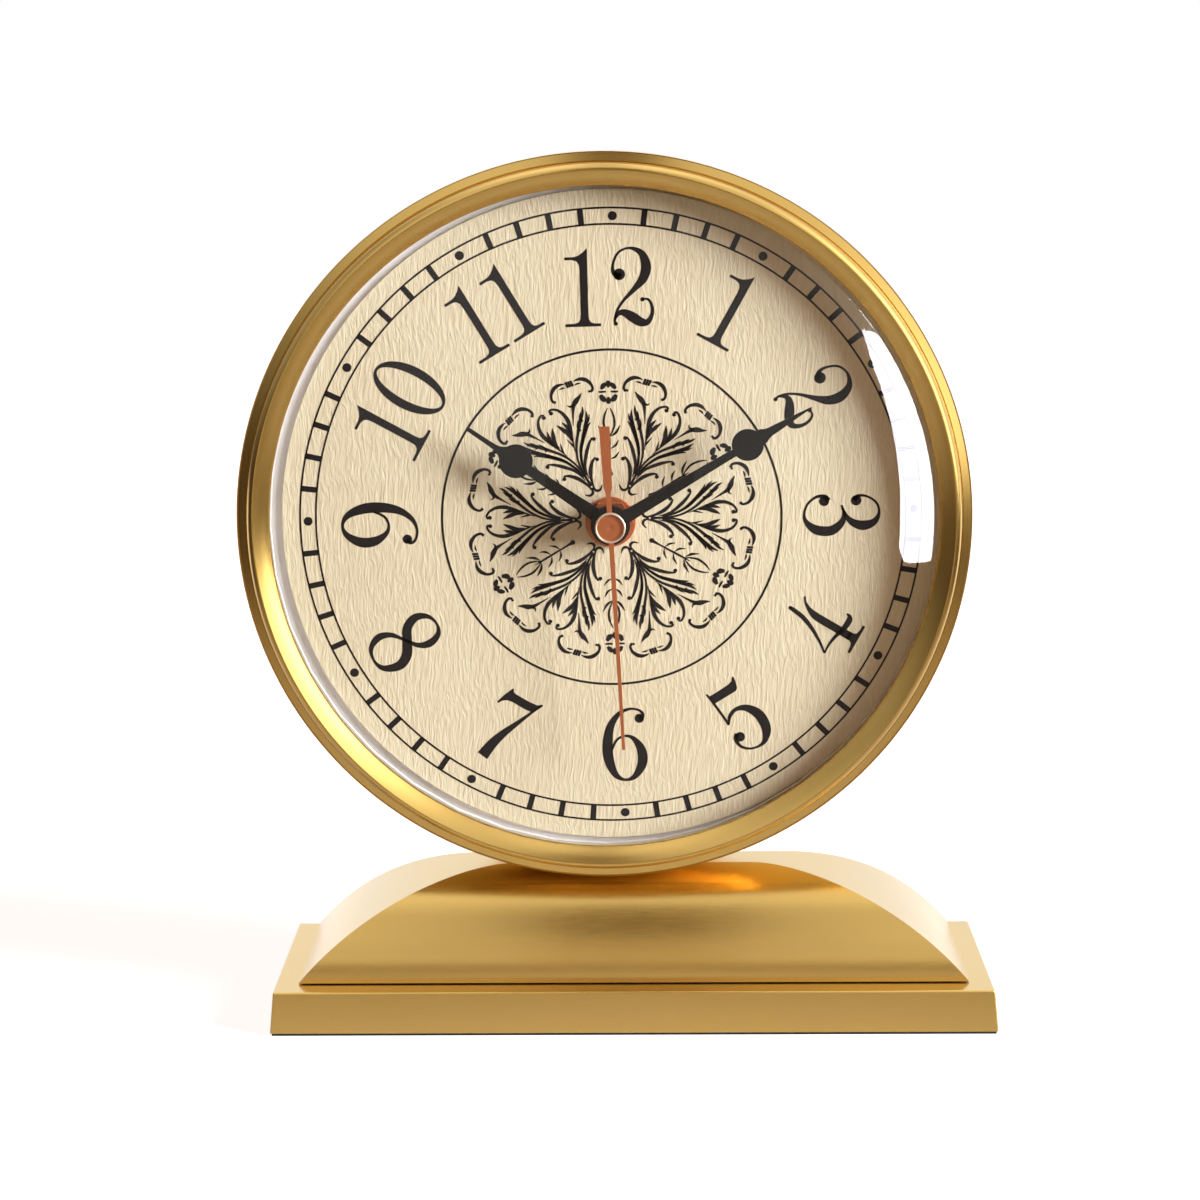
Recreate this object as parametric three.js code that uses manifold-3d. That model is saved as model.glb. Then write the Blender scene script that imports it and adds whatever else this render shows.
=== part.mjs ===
// A quartz desk clock: a brass drum on an arched block and a plinth, with its dial, hands and movement.
// Millimetres, +Z up, the dial faces -Y, and the origin is the centre of the base's underside.
import * as THREE from 'three';
import { mergeVertices } from 'three/addons/utils/BufferGeometryUtils.js';
import Module from 'manifold-3d';

const wasm = await Module();
wasm.setup();

// Fits
const seatGap = 0.3; // between two pieces that rest on each other
const runGap = 0.25; // around a turning piece, on the radius
const dropInGap = 0.5; // around a piece that drops into a frame or a skirt

// Plinth and its pad
const plinthWidth = 182;
const plinthDepth = 55;
const plinthHeight = 10.6;
const plinthLift = 0.6; // the strip of pad that shows under the plinth
const plinthDraft = 0.95; // how far each side leans in on its way up
const plinthCorner = 1.6;
const plinthEdge = 0.9;
const padInset = 2.2;
const padThickness = 1.2;
const pocketDepth = 5.4; // of the pocket that takes the screw heads

// Arched block
const archLength = 168.6;
const archDepth = 46.8;
const archHeight = 25.5;
const archFlatLength = 60;
const archNose = 0.5; // the rounded front would rise this much above the flat top
const archSetBack = 2.7;
const archWall = 3;
const archRibThickness = 2.5;
const archRibSpread = 36; // from the middle to each rib

// Drum
const headShift = -6.6; // the drum stands to the left of the middle of the base
const caseRadius = 89.6;
const caseWall = 1;
const caseDepth = 26.7;
const caseLedgeWidth = 4.6;
const caseLedgeThickness = 1.2;
const caseFlangeWidth = 10.6;
const caseFlangeThickness = 1.2;
const caseLipForward = 0.7; // of the dial's face
const dialSetForward = 8; // from the middle of the base to the face of the dial

// Bezel, measured from its rim inwards
const bezelOverhang = 0.7; // beyond the case
const bezelBandWidth = 2.5;
const bezelBandHeight = 3.3;
const bezelRoundWidth = 1.9;
const bezelRoundHeight = 3.3;
const bezelSlopeWidth = 3.8;
const bezelSlopeDepth = 3.1;
const bezelLipThickness = 0.7;
const bezelSkirtWall = 1;

// Lens
const lensThickness = 1.5;
const lensFlangeWidth = 2.8;
const lensShoulderRadius = 11;
const lensShoulderLean = 50; // degrees, at the foot of the shoulder
const lensCrownRise = 2.6;
const lensLipGap = 0.4; // between the foot of the shoulder and the bezel's lip
const gasketThickness = 1.5;

// Dial
const dialRadius = 81.2;
const dialThickness = 0.5;
const boardThickness = 2;
const dialShift = 1.6; // the dial and the movement sit to the right of the drum's axis

// Rear cover
const coverThickness = 2;
const coverRecess = 0.2; // inside the case's back edge
const windowCorner = 4;
const windowSkirtWall = 1.4;
const windowSkirtDepth = 6.5;
const coverScrewCount = 4;

// Movement housing
const housingDepth = 16;
const housingWall = 1.2;
const housingCorner = 3;
const bushRadius = 4;
const bushLength = 8; // from the front of the housing
const rubberThickness = 0.8;
const rubberRadius = 11;
const bayWall = 0.8;
const pivotBossRadius = 1.4;
const pivotBossHeight = 0.9;
const studRadius = 0.6; // the post the motion wheel turns on

// Arbors and pipes, radii
const arborRadius = 0.5;
const minutePipeRadius = 1.45;
const hourPipeRadius = 2.3;
const settingArborRadius = 1.2;
const pipeSpacing = 0.2; // between the pipes of the two hands

// Wheels: teeth, and the distances between the arbors
const rotorLeaves = 5;
const intermediateTeeth = 30;
const intermediateLeaves = 5;
const secondsTeeth = 25;
const secondsLeaves = 5;
const thirdTeeth = 40;
const thirdLeaves = 6;
const centreTeeth = 45;
const minuteLeaves = 7;
const motionTeeth = 21;
const motionLeaves = 6;
const hourTeeth = 24;
const settingLeaves = 7;
const rotorArborDistance = 7.84;
const secondsArborDistance = 11.2;
const thirdArborDistance = 10.8;
const motionArborDistance = 9.6;
const wheelThickness = 0.8;
const magnetRadius = 3;
const magnetLength = 2.4;

// Cell, a standard AA, and its contacts
const cellRadius = 7.1;
const cellLength = 49.2;
const cellNubRadius = 2.75;
const cellNubLength = 1.3;
const contactThickness = 0.4;
const contactHeight = 10;
const contactRoom = 1.55; // at each end of the cell, for a contact

// Coil and circuit board
const coilSpan = 20; // between the two arms of the stator
const coilWallRoom = 3.3; // from the upper arm to the housing's wall
const circuitWidth = 13.2;
const circuitWallRoom = 0.6;

// Hands
const hourHandLength = 42.1;
const hourBulgeReach = 27.9;
const hourBulgeRadius = 4.15;
const minuteHandLength = 56.8;
const minuteBulgeReach = 38.9;
const minuteBulgeRadius = 3.9;
const handThickness = 0.6;
const handBossRadius = 4.8;
const secondHandReach = 56.3;
const secondTailReach = 24.7;
const secondTailWidth = 2.6;
const secondHandThickness = 0.4;
const secondCapRadius = 3.75;
const secondCapHeight = 1.6;
const hourHandAngle = 304.6; // degrees clockwise from twelve
const minuteHandAngle = 59.5;
const secondHandAngle = 177;

// Screws
const drumScrewRadius = 2;
const drumScrewSpread = 12; // from the drum's axis to each screw
const baseScrewRadius = 1.75;
const baseScrewReach = 60; // from the middle of the base
const baseScrewGrip = 9; // into the arched block
const coverScrewRadius = 1.1;
const nutPlateThickness = 2;
const nutPlateWidth = 12;
const nutPlateAngle = 26; // degrees

// Smoothness
const bigSteps = 40;
const smallSteps = 12;
const pinSteps = 8;

// Places that follow from the sizes above
const plinthTop = plinthLift + plinthHeight;
const archFoot = plinthTop + seatGap;
const archTop = archFoot + archHeight;
const drumAxisHeight = archTop + seatGap + caseRadius;
const caseInner = caseRadius - caseWall;
const bezelRadius = caseRadius + bezelOverhang;
const bezelRidgeRadius = bezelRadius - bezelBandWidth - bezelRoundWidth;
const bezelOpening = bezelRidgeRadius - bezelSlopeWidth;
const skirtOuter = caseInner - seatGap;
const skirtInner = skirtOuter - bezelSkirtWall;
const boardRadius = skirtInner - dropInGap;
const baseScrewPlaces = [-baseScrewReach, baseScrewReach];
const drumScrewPlaces = [headShift - drumScrewSpread, headShift + drumScrewSpread];

// Forward distances in the drum, from the face of the dial
const boardFront = -dialThickness - seatGap;
const boardBack = boardFront - boardThickness;
const ledgeFront = boardBack - seatGap;
const caseBack = caseLipForward - caseDepth;
const bandBack = caseLipForward + seatGap;
const bandFront = bandBack + bezelBandHeight;
const ridgeFront = bandFront + bezelRoundHeight;
const lipFront = ridgeFront - bezelSlopeDepth;
const lipBack = lipFront - bezelLipThickness;
const lensFlangeFront = lipBack - seatGap;
const lensFlangeBack = lensFlangeFront - lensThickness;
const lensFlangeRadius = bezelOpening + lensFlangeWidth - seatGap;
const coverOuterFace = caseBack + coverRecess;
const coverInnerFace = coverOuterFace + coverThickness;
const flangeBack = coverInnerFace + seatGap;
const housingSize = cellLength + cellNubLength + 2 * (contactRoom + housingWall);
const housingFront = boardBack - seatGap - rubberThickness - seatGap;
const housingBack = housingFront - housingDepth;
const housingFloor = housingFront - housingWall;
const lidFront = housingBack + housingWall;
const bushFront = housingFront + bushLength;

// Layers of the wheels, each the front face of a wheel
const hourLayer = housingFloor - 0.5;
const motionLayer = hourLayer - wheelThickness - 0.7;
const centreLayer = motionLayer - wheelThickness - 1;
const thirdLayer = centreLayer - wheelThickness - 1.6;
const secondsLayer = thirdLayer - wheelThickness - 0.9;
const intermediateLayer = secondsLayer - wheelThickness - 1;
const magnetFront = thirdLayer + 0.7;
const statorFront = magnetFront - magnetLength / 2 + 0.4;
const pivotFront = housingFloor - 0.2;
const pivotBack = lidFront + 0.4;

// Layers of the hands and their pipes
const pipeStep = 0.4; // a pipe stands past its hand by this much
const minutePipeBack = centreLayer - wheelThickness - seatGap - pipeStep;
const minutePipeBore = arborRadius + runGap;
const hourPipeBore = minutePipeRadius + pipeSpacing;
const hourHandBack = bushFront + 0.5;
const hourPipeFront = hourHandBack + handThickness + pipeStep;
const minuteHandBack = hourPipeFront + 0.6;
const minutePipeFront = minuteHandBack + handThickness + pipeStep;
const secondHandBack = minutePipeFront + 0.8;
const secondArborFront = secondHandBack - seatGap;
const secondCapBack = secondHandBack + secondHandThickness + seatGap;

// Places of the arbors, seen from the front and measured from the centre shaft
const degree = Math.PI / 180;
const polar = (distance, angle) => new THREE.Vector2(
  distance * Math.cos(angle * degree),
  distance * Math.sin(angle * degree),
);
const centrePlace = new THREE.Vector2(0, 0);
const thirdPlace = polar(thirdArborDistance, 150);
const intermediatePlace = polar(secondsArborDistance, 30);
const rotorPlace = intermediatePlace.clone().add(polar(rotorArborDistance, 80));
const motionPlace = polar(motionArborDistance, 90);
const coverScrewCircle = caseInner - caseFlangeWidth / 2;
const coverScrewPlaces = Array.from(
  { length: coverScrewCount },
  (_, i) => polar(coverScrewCircle, 360 / coverScrewCount * (i + 0.5)),
);

// Modules follow from the distances and the teeth
const moduleOf = (distance, teethA, teethB) => 2 * distance / (teethA + teethB);
const rotorModule = moduleOf(rotorArborDistance, rotorLeaves, intermediateTeeth);
const secondsModule = moduleOf(secondsArborDistance, intermediateLeaves, secondsTeeth);
const thirdModule = moduleOf(thirdArborDistance, secondsLeaves, thirdTeeth);
const centreModule = moduleOf(thirdArborDistance, thirdLeaves, centreTeeth);
const motionModule = moduleOf(motionArborDistance, minuteLeaves, motionTeeth);
const hourModule = moduleOf(motionArborDistance, motionLeaves, hourTeeth);
const motionToSetting = motionModule * (motionTeeth + settingLeaves) / 2;
const settingPlace = motionPlace.clone().add(polar(motionToSetting, 90));

// Finishes
const finish = (color, roughness, metalness) => ({ color, roughness, metalness });
const satinBrass = finish(0xc8a25c, 0.34, 1);
const plainBrass = finish(0xb9924f, 0.45, 1);
const copper = finish(0x9c5a2c, 0.35, 1);
const blackMetal = finish(0x1c1a1d, 0.4, 0.6);
const steel = finish(0xb8bbbd, 0.35, 1);
const magnetSteel = finish(0x55565a, 0.5, 0.9);
const whiteBoard = finish(0xf1ecf0, 0.7, 0);
const creamCard = finish(0xe8dcbe, 0.8, 0);
const clearPlastic = finish(0xf4f7f8, 0.04, 0);
const blackPlastic = finish(0x1d1d1f, 0.55, 0);
const whitePlastic = finish(0xe9e7e2, 0.5, 0);
const blackRubber = finish(0x161616, 0.9, 0);
const blackFelt = finish(0x121113, 1, 0);
const cellSkin = finish(0x2f4a3a, 0.4, 0.3);
const copperWire = finish(0x8c4526, 0.45, 0.8);
const boardGreen = finish(0x28573c, 0.6, 0);

// Turns a geometry into one closed surface: shared corners, no flat slivers, faces outward
function closed(geometry) {
  const bare = geometry.index ? geometry.toNonIndexed() : geometry.clone();
  bare.deleteAttribute('normal');
  bare.deleteAttribute('uv');
  const merged = mergeVertices(bare, 1e-4);
  const corners = merged.index.array;
  const place = merged.attributes.position;
  const kept = [];
  let volume = 0;
  for (let i = 0; i < corners.length; i += 3) {
    const [a, b, c] = [corners[i], corners[i + 1], corners[i + 2]];
    if (a === b || b === c || c === a) continue;
    kept.push(a, b, c);
    const p = new THREE.Vector3().fromBufferAttribute(place, a);
    const q = new THREE.Vector3().fromBufferAttribute(place, b);
    const r = new THREE.Vector3().fromBufferAttribute(place, c);
    volume += p.dot(q.cross(r));
  }
  if (volume < 0) kept.reverse();
  merged.setIndex(kept);
  return merged;
}

// Cutting and joining
function toSolid(geometry) {
  const surface = closed(geometry);
  return new wasm.Manifold(new wasm.Mesh({
    numProp: 3,
    vertProperties: Float32Array.from(surface.attributes.position.array),
    triVerts: Uint32Array.from(surface.index.array),
  }));
}

function toGeometry(solid) {
  const mesh = solid.getMesh();
  const geometry = new THREE.BufferGeometry();
  geometry.setAttribute('position', new THREE.BufferAttribute(mesh.vertProperties, 3));
  geometry.setIndex(new THREE.BufferAttribute(mesh.triVerts, 1));
  return geometry;
}

function join(first, ...others) {
  return toGeometry(others.reduce((sum, other) => sum.add(toSolid(other)), toSolid(first)));
}

function cut(first, ...tools) {
  return toGeometry(tools.reduce((rest, tool) => rest.subtract(toSolid(tool)), toSolid(first)));
}

function common(first, second) {
  return toGeometry(toSolid(first).intersect(toSolid(second)));
}

// A profile of [radius, forward] points turned about the axis that points at the viewer
function revolve(profile, steps = smallSteps) {
  const points = profile.map(([radius, forward]) => new THREE.Vector2(radius, forward));
  const onAxis = points[0].x === 0 && points.at(-1).x === 0;
  if (!onAxis) points.push(points[0].clone());
  return new THREE.LatheGeometry(points, steps).rotateX(Math.PI / 2);
}

// An outline drawn in the plane of the dial, from one forward distance to another
function slab(shape, back, front, curveSteps = 6) {
  const options = { depth: front - back, bevelEnabled: false, curveSegments: curveSteps };
  return new THREE.ExtrudeGeometry(shape, options).translate(0, 0, back);
}

function rod(radius, back, front, place = centrePlace, steps = pinSteps) {
  return revolve([[0, back], [radius, back], [radius, front], [0, front]], steps)
    .translate(place.x, place.y, 0);
}

function tube(inner, outer, back, front, steps = smallSteps) {
  return revolve([[inner, back], [outer, back], [outer, front], [inner, front]], steps);
}

function circlePath(radius, steps, Kind = THREE.Shape, place = centrePlace) {
  const path = new Kind();
  for (let i = 0; i < steps; i += 1) {
    const angle = 2 * Math.PI * i / steps;
    const x = place.x + radius * Math.cos(angle);
    const y = place.y + radius * Math.sin(angle);
    if (i === 0) path.moveTo(x, y);
    else path.lineTo(x, y);
  }
  path.closePath();
  return path;
}

function roundedBox(left, bottom, right, top, corner, Kind = THREE.Shape) {
  const path = new Kind();
  path.moveTo(left + corner, bottom);
  path.lineTo(right - corner, bottom);
  path.absarc(right - corner, bottom + corner, corner, -Math.PI / 2, 0, false);
  path.lineTo(right, top - corner);
  path.absarc(right - corner, top - corner, corner, 0, Math.PI / 2, false);
  path.lineTo(left + corner, top);
  path.absarc(left + corner, top - corner, corner, Math.PI / 2, Math.PI, false);
  path.lineTo(left, bottom + corner);
  path.absarc(left + corner, bottom + corner, corner, Math.PI, Math.PI * 1.5, false);
  return path;
}

function box(left, bottom, right, top, back, front) {
  return new THREE.BoxGeometry(right - left, top - bottom, front - back)
    .translate((left + right) / 2, (bottom + top) / 2, (back + front) / 2);
}

// An upright rod for the base, along Z
function post(radius, x, y, bottom, top, steps = pinSteps) {
  return rod(radius, bottom, top, new THREE.Vector2(x, y), steps);
}

// A screw on its own axis: its head sits below zero and its shank reaches up from there
function screwProfile(shank, length, head, headHeight) {
  return [
    [0, -headHeight],
    [head * 0.7, -headHeight],
    [head, -headHeight * 0.45],
    [head, 0],
    [shank, 0],
    [shank, length - shank * 0.5],
    [shank * 0.5, length],
    [0, length],
  ];
}

// Gears: depths in modules, and half widths of a tooth as shares of the tooth spacing
const rootDepth = 1.12;
const tipHeight = 0.82;
const wheelRootHalf = 0.33;
const pinionRootHalf = 0.2;
const pitchHalf = 0.205;
const tipHalf = 0.1;
const fewLeaves = 12; // a wheel with fewer teeth than this is cut as a pinion

// The outline of a wheel or pinion whose first tooth points at the phase angle
function gearShape(teeth, module, phase, bore) {
  const pitch = teeth * module / 2;
  const step = 2 * Math.PI / teeth;
  const isPinion = teeth < fewLeaves;
  const root = { radius: pitch - rootDepth * module, half: isPinion ? pinionRootHalf : wheelRootHalf };
  const waist = { radius: pitch, half: pitchHalf };
  const tip = { radius: pitch + tipHeight * module, half: tipHalf };
  const flank = isPinion ? [root, waist, tip] : [root, tip];
  const points = [];
  for (let i = 0; i < teeth; i += 1) {
    const middle = phase + i * step;
    const rising = flank.map(({ radius, half }) => [radius, middle - half * step]);
    const falling = flank.map(({ radius, half }) => [radius, middle + half * step]).reverse();
    for (const [radius, angle] of [...rising, ...falling]) points.push(polar(radius, angle / degree));
  }
  const shape = new THREE.Shape(points);
  if (bore > 0) shape.holes.push(circlePath(bore, smallSteps, THREE.Path));
  return shape;
}

// The phase that puts a wheel in mesh with its neighbour
function meshPhase(teeth, place, otherTeeth, otherPlace, otherPhase) {
  const line = Math.atan2(place.y - otherPlace.y, place.x - otherPlace.x);
  const otherShare = (line - otherPhase) * otherTeeth / (2 * Math.PI);
  const share = 0.5 - otherShare;
  return line + Math.PI - 2 * Math.PI * share / teeth;
}

function gear(teeth, module, phase, back, front, bore = 0) {
  return slab(gearShape(teeth, module, phase, bore), back, front);
}

// The phases along both trains, from the wheels on the centre shaft outwards
const secondsPhase = 0;
const intermediatePinionPhase = meshPhase(
  intermediateLeaves, intermediatePlace, secondsTeeth, centrePlace, secondsPhase,
);
const rotorPhase = meshPhase(
  rotorLeaves, rotorPlace, intermediateTeeth, intermediatePlace, 0,
);
const thirdPhase = meshPhase(thirdTeeth, thirdPlace, secondsLeaves, centrePlace, 0);
const centrePhase = meshPhase(centreTeeth, centrePlace, thirdLeaves, thirdPlace, 0);
const motionPhase = meshPhase(motionTeeth, motionPlace, minuteLeaves, centrePlace, 0);
const hourPhase = meshPhase(hourTeeth, centrePlace, motionLeaves, motionPlace, 0);
const settingPhase = meshPhase(
  settingLeaves, settingPlace, motionTeeth, motionPlace, motionPhase,
);

// A compound wheel on its own place: gears and plain lengths, all on one arbor
function arborStack(place, ...pieces) {
  return join(...pieces).translate(place.x, place.y, 0);
}

// Assembly
const clock = new THREE.Group();
const base = new THREE.Group();
const head = new THREE.Group();
const movement = new THREE.Group();
head.rotation.x = Math.PI / 2;
head.position.set(headShift, -dialSetForward, drumAxisHeight);
movement.position.x = dialShift;
clock.add(base, head);
head.add(movement);

function add(group, name, geometry, look) {
  const surface = closed(geometry);
  surface.computeVertexNormals();
  const mesh = new THREE.Mesh(surface, new THREE.MeshStandardMaterial(look));
  mesh.name = name;
  group.add(mesh);
}

// Plinth: a drafted block with rounded edges, lofted from rounded rectangles
function rectangleRing(width, depth, corner, steps) {
  const ring = [];
  const centres = [[1, 1], [-1, 1], [-1, -1], [1, -1]];
  centres.forEach(([signX, signY], quarter) => {
    for (let i = 0; i <= steps; i += 1) {
      const angle = (quarter + i / steps) * Math.PI / 2;
      const x = signX * (width / 2 - corner) + corner * Math.cos(angle);
      const y = signY * (depth / 2 - corner) + corner * Math.sin(angle);
      ring.push([x, y]);
    }
  });
  return ring;
}

function loft(levels) {
  const places = [];
  const faces = [];
  const count = levels[0].ring.length;
  for (const { ring, height } of levels) {
    for (const [x, y] of ring) places.push(x, y, height);
  }
  for (let level = 0; level < levels.length - 1; level += 1) {
    for (let i = 0; i < count; i += 1) {
      const a = level * count + i;
      const b = level * count + (i + 1) % count;
      faces.push(a, b, b + count, a, b + count, a + count);
    }
  }
  const top = (levels.length - 1) * count;
  for (let i = 1; i < count - 1; i += 1) {
    faces.push(0, i + 1, i, top, top + i, top + i + 1);
  }
  const geometry = new THREE.BufferGeometry();
  geometry.setAttribute('position', new THREE.Float32BufferAttribute(places, 3));
  geometry.setIndex(faces);
  return geometry;
}

function plinthLevel(height, inset) {
  const lean = plinthDraft * (height - plinthLift) / plinthHeight;
  const trim = 2 * (lean + inset);
  const ring = rectangleRing(plinthWidth - trim, plinthDepth - trim, plinthCorner, 2);
  return { ring, height };
}

function buildPlinth() {
  const levels = [plinthLevel(plinthLift, plinthEdge / 3), plinthLevel(plinthLift + plinthEdge / 3, 0)];
  const edgeSteps = 3;
  for (let i = 0; i <= edgeSteps; i += 1) {
    const angle = i / edgeSteps * Math.PI / 2;
    const height = plinthTop - plinthEdge * (1 - Math.sin(angle));
    levels.push(plinthLevel(height, plinthEdge * (1 - Math.cos(angle))));
  }
  const padSpan = 2 * (padInset - seatGap);
  const padCeiling = padThickness + seatGap;
  const padHalfX = (plinthWidth - padSpan) / 2;
  const padHalfY = (plinthDepth - padSpan) / 2;
  const recess = box(-padHalfX, -padHalfY, padHalfX, padHalfY, -1, padCeiling);
  const pocketHalfX = baseScrewReach + baseScrewRadius * 4;
  const pocketHalfY = drumScrewRadius * 4;
  const pocket = slab(
    roundedBox(-pocketHalfX, archSetBack - pocketHalfY, pocketHalfX, archSetBack + pocketHalfY, 3),
    0, plinthLift + pocketDepth,
  );
  const holes = baseScrewPlaces.map((x) => post(baseScrewRadius + seatGap, x, archSetBack, 0, 20));
  holes.push(...drumScrewPlaces.map((x) => post(drumScrewRadius + seatGap, x, archSetBack, 0, 20)));
  return cut(loft(levels), recess, pocket, ...holes);
}

// Arched block: an arch along X crossed by a rounded nose along Y, hollow like its casting
function archOutline(inset, below) {
  const flat = archFlatLength / 2;
  const run = archLength / 2 - flat;
  const sweep = (run * run + archHeight * archHeight) / (2 * archHeight);
  const radius = sweep - inset;
  const lowest = Math.asin((sweep - archHeight - below) / radius);
  const shape = new THREE.Shape();
  const steps = inset > 0 ? 6 : 14;
  for (const side of [1, -1]) {
    for (let i = 0; i <= steps; i += 1) {
      const share = side > 0 ? i / steps : 1 - i / steps;
      const angle = lowest + (Math.PI / 2 - lowest) * share;
      const x = side * (flat + radius * Math.cos(angle));
      const z = archHeight - sweep + radius * Math.sin(angle);
      if (side > 0 && i === 0) shape.moveTo(x, z);
      else shape.lineTo(x, z);
    }
  }
  shape.closePath();
  return shape;
}

function noseOutline(inset, below) {
  const halfDepth = archDepth / 2 - inset;
  const apex = archHeight + archNose - inset;
  const top = archHeight - inset;
  const last = Math.asin(top / apex);
  const steps = inset > 0 ? 5 : 11;
  const shape = new THREE.Shape();
  shape.moveTo(-halfDepth, -below);
  shape.lineTo(halfDepth, -below);
  for (const side of [1, -1]) {
    for (let i = 0; i <= steps; i += 1) {
      const angle = last * (side > 0 ? i / steps : 1 - i / steps);
      shape.lineTo(side * halfDepth * Math.cos(angle), apex * Math.sin(angle));
    }
  }
  shape.closePath();
  return shape;
}

// The vault that both outlines share, standing on its foot at the set-back line
function vault(inset, below) {
  const span = archLength + 20;
  const along = slab(archOutline(inset, below), -span / 2, span / 2)
    .rotateX(Math.PI / 2)
    .translate(0, archSetBack, archFoot);
  const across = slab(noseOutline(inset, below), -span / 2, span / 2)
    .rotateZ(Math.PI / 2)
    .rotateY(Math.PI / 2)
    .translate(0, archSetBack, archFoot);
  return common(along, across);
}

function buildArch() {
  const below = 2;
  const above = archTop + below;
  const bosses = [
    ...drumScrewPlaces.map((x) => post(drumScrewRadius * 2.4, x, archSetBack, archFoot - below * 2, above)),
    ...baseScrewPlaces.map((x) => post(baseScrewRadius * 2.4, x, archSetBack, archFoot - below * 2, above)),
  ];
  const ribs = [-1, 1].map((side) => box(
    side * archRibSpread - archRibThickness / 2, -archDepth,
    side * archRibSpread + archRibThickness / 2, archDepth,
    archFoot + archHeight * 0.35, above,
  ));
  const hollow = cut(vault(archWall, below), ...bosses, ...ribs);
  const drumHoles = drumScrewPlaces.map(
    (x) => post(drumScrewRadius + seatGap, x, archSetBack, archFoot - 5, above),
  );
  const baseHoles = baseScrewPlaces.map(
    (x) => post(baseScrewRadius + seatGap, x, archSetBack, archFoot - 5, archFoot + baseScrewGrip + 1),
  );
  return cut(vault(0, 0), hollow, ...drumHoles, ...baseHoles);
}

function buildPad() {
  const width = plinthWidth - 2 * padInset;
  const depth = plinthDepth - 2 * padInset;
  const outline = roundedBox(-width / 2, -depth / 2, width / 2, depth / 2, plinthCorner);
  return slab(outline, 0, padThickness, 3);
}

const headSeat = plinthLift + pocketDepth - seatGap; // where the screw heads bear in the pocket
function buildBaseScrew(x) {
  const length = archFoot + baseScrewGrip - headSeat;
  const profile = screwProfile(baseScrewRadius, length, baseScrewRadius * 2, 2.2);
  return revolve(profile, pinSteps).translate(x, archSetBack, headSeat);
}

function buildDrumScrew(x) {
  const plateInner = caseInner - seatGap - nutPlateThickness;
  const length = drumAxisHeight - plateInner - headSeat;
  const profile = screwProfile(drumScrewRadius, length, drumScrewRadius * 2, 2.6);
  return revolve(profile, pinSteps).translate(x, archSetBack, headSeat);
}

add(base, 'base_pad', buildPad(), blackFelt);
add(base, 'plinth', buildPlinth(), satinBrass);
add(base, 'arch_block', buildArch(), satinBrass);
baseScrewPlaces.forEach((x, i) => add(base, `base_screw_${i + 1}`, buildBaseScrew(x), steel));
drumScrewPlaces.forEach((x, i) => add(base, `drum_screw_${i + 1}`, buildDrumScrew(x), steel));

// Drum screws pass the case and its nut plate; these are their holes in the drum's own frame
function drumScrewHoles() {
  return drumScrewPlaces.map((x) => {
    const hole = post(drumScrewRadius + seatGap, 0, 0, -caseRadius - 4, -caseInner + 8);
    return hole.rotateX(-Math.PI / 2).translate(x - headShift, 0, -archSetBack - dialSetForward);
  });
}

// Case: a drawn cup with a ledge for the dial board and an inward flange for the rear cover
function buildCase() {
  const ledgeInner = caseInner - caseLedgeWidth;
  const flangeInner = caseInner - caseFlangeWidth;
  const flangeFront = flangeBack + caseFlangeThickness;
  const ledgeBack = ledgeFront - caseLedgeThickness;
  const profile = [
    [caseRadius, caseBack],
    [caseRadius, caseLipForward],
    [caseInner, caseLipForward],
    [caseInner, ledgeFront],
    [ledgeInner, ledgeFront],
    [ledgeInner, ledgeBack],
    [caseInner, ledgeBack],
    [caseInner, flangeFront],
    [flangeInner, flangeFront],
    [flangeInner, flangeBack],
    [caseInner, flangeBack],
    [caseInner, caseBack],
  ];
  const screwHoles = coverScrewPlaces.map(
    (place) => rod(coverScrewRadius + seatGap, flangeBack - 1, flangeFront + 1, place, 8),
  );
  return cut(revolve(profile, bigSteps), ...screwHoles, ...drumScrewHoles());
}

function buildNutPlate() {
  const outer = caseInner - seatGap;
  const middle = -archSetBack - dialSetForward;
  const inner = outer - nutPlateThickness;
  const shape = new THREE.Shape();
  const steps = 8;
  for (const [radius, turn] of [[outer, 1], [inner, -1]]) {
    for (let i = 0; i <= steps; i += 1) {
      const angle = (-90 + turn * nutPlateAngle * (i / steps - 0.5)) * degree;
      const x = radius * Math.cos(angle);
      const y = radius * Math.sin(angle);
      if (turn > 0 && i === 0) shape.moveTo(x, y);
      else shape.lineTo(x, y);
    }
  }
  shape.closePath();
  const plate = slab(shape, middle - nutPlateWidth / 2, middle + nutPlateWidth / 2);
  return cut(plate, ...drumScrewHoles());
}

// Bezel: a set-back band, a convex round, a ridge and a slope down to the lens
function buildBezel() {
  const roundFoot = bezelRadius - bezelBandWidth;
  const bore = lensFlangeRadius + seatGap;
  const skirtBack = boardBack + 0.3;
  const round = [];
  const roundSteps = 3;
  for (let i = 0; i <= roundSteps; i += 1) {
    const angle = i / roundSteps * Math.PI / 2;
    round.push([
      roundFoot - bezelRoundWidth * (1 - Math.cos(angle)),
      bandFront + 0.5 + (bezelRoundHeight - 0.5) * Math.sin(angle),
    ]);
  }
  const profile = [
    [skirtOuter, skirtBack],
    [skirtOuter, bandBack],
    [bezelRadius, bandBack],
    [bezelRadius, bandFront - 0.7],
    [bezelRadius - 0.7, bandFront],
    [roundFoot, bandFront],
    ...round,
    [bezelOpening, lipFront],
    [bezelOpening, lipBack],
    [bore, lipBack],
    [bore, boardFront + seatGap],
    [skirtInner, boardFront + seatGap],
    [skirtInner, skirtBack],
  ];
  return revolve(profile, bigSteps);
}

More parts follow.
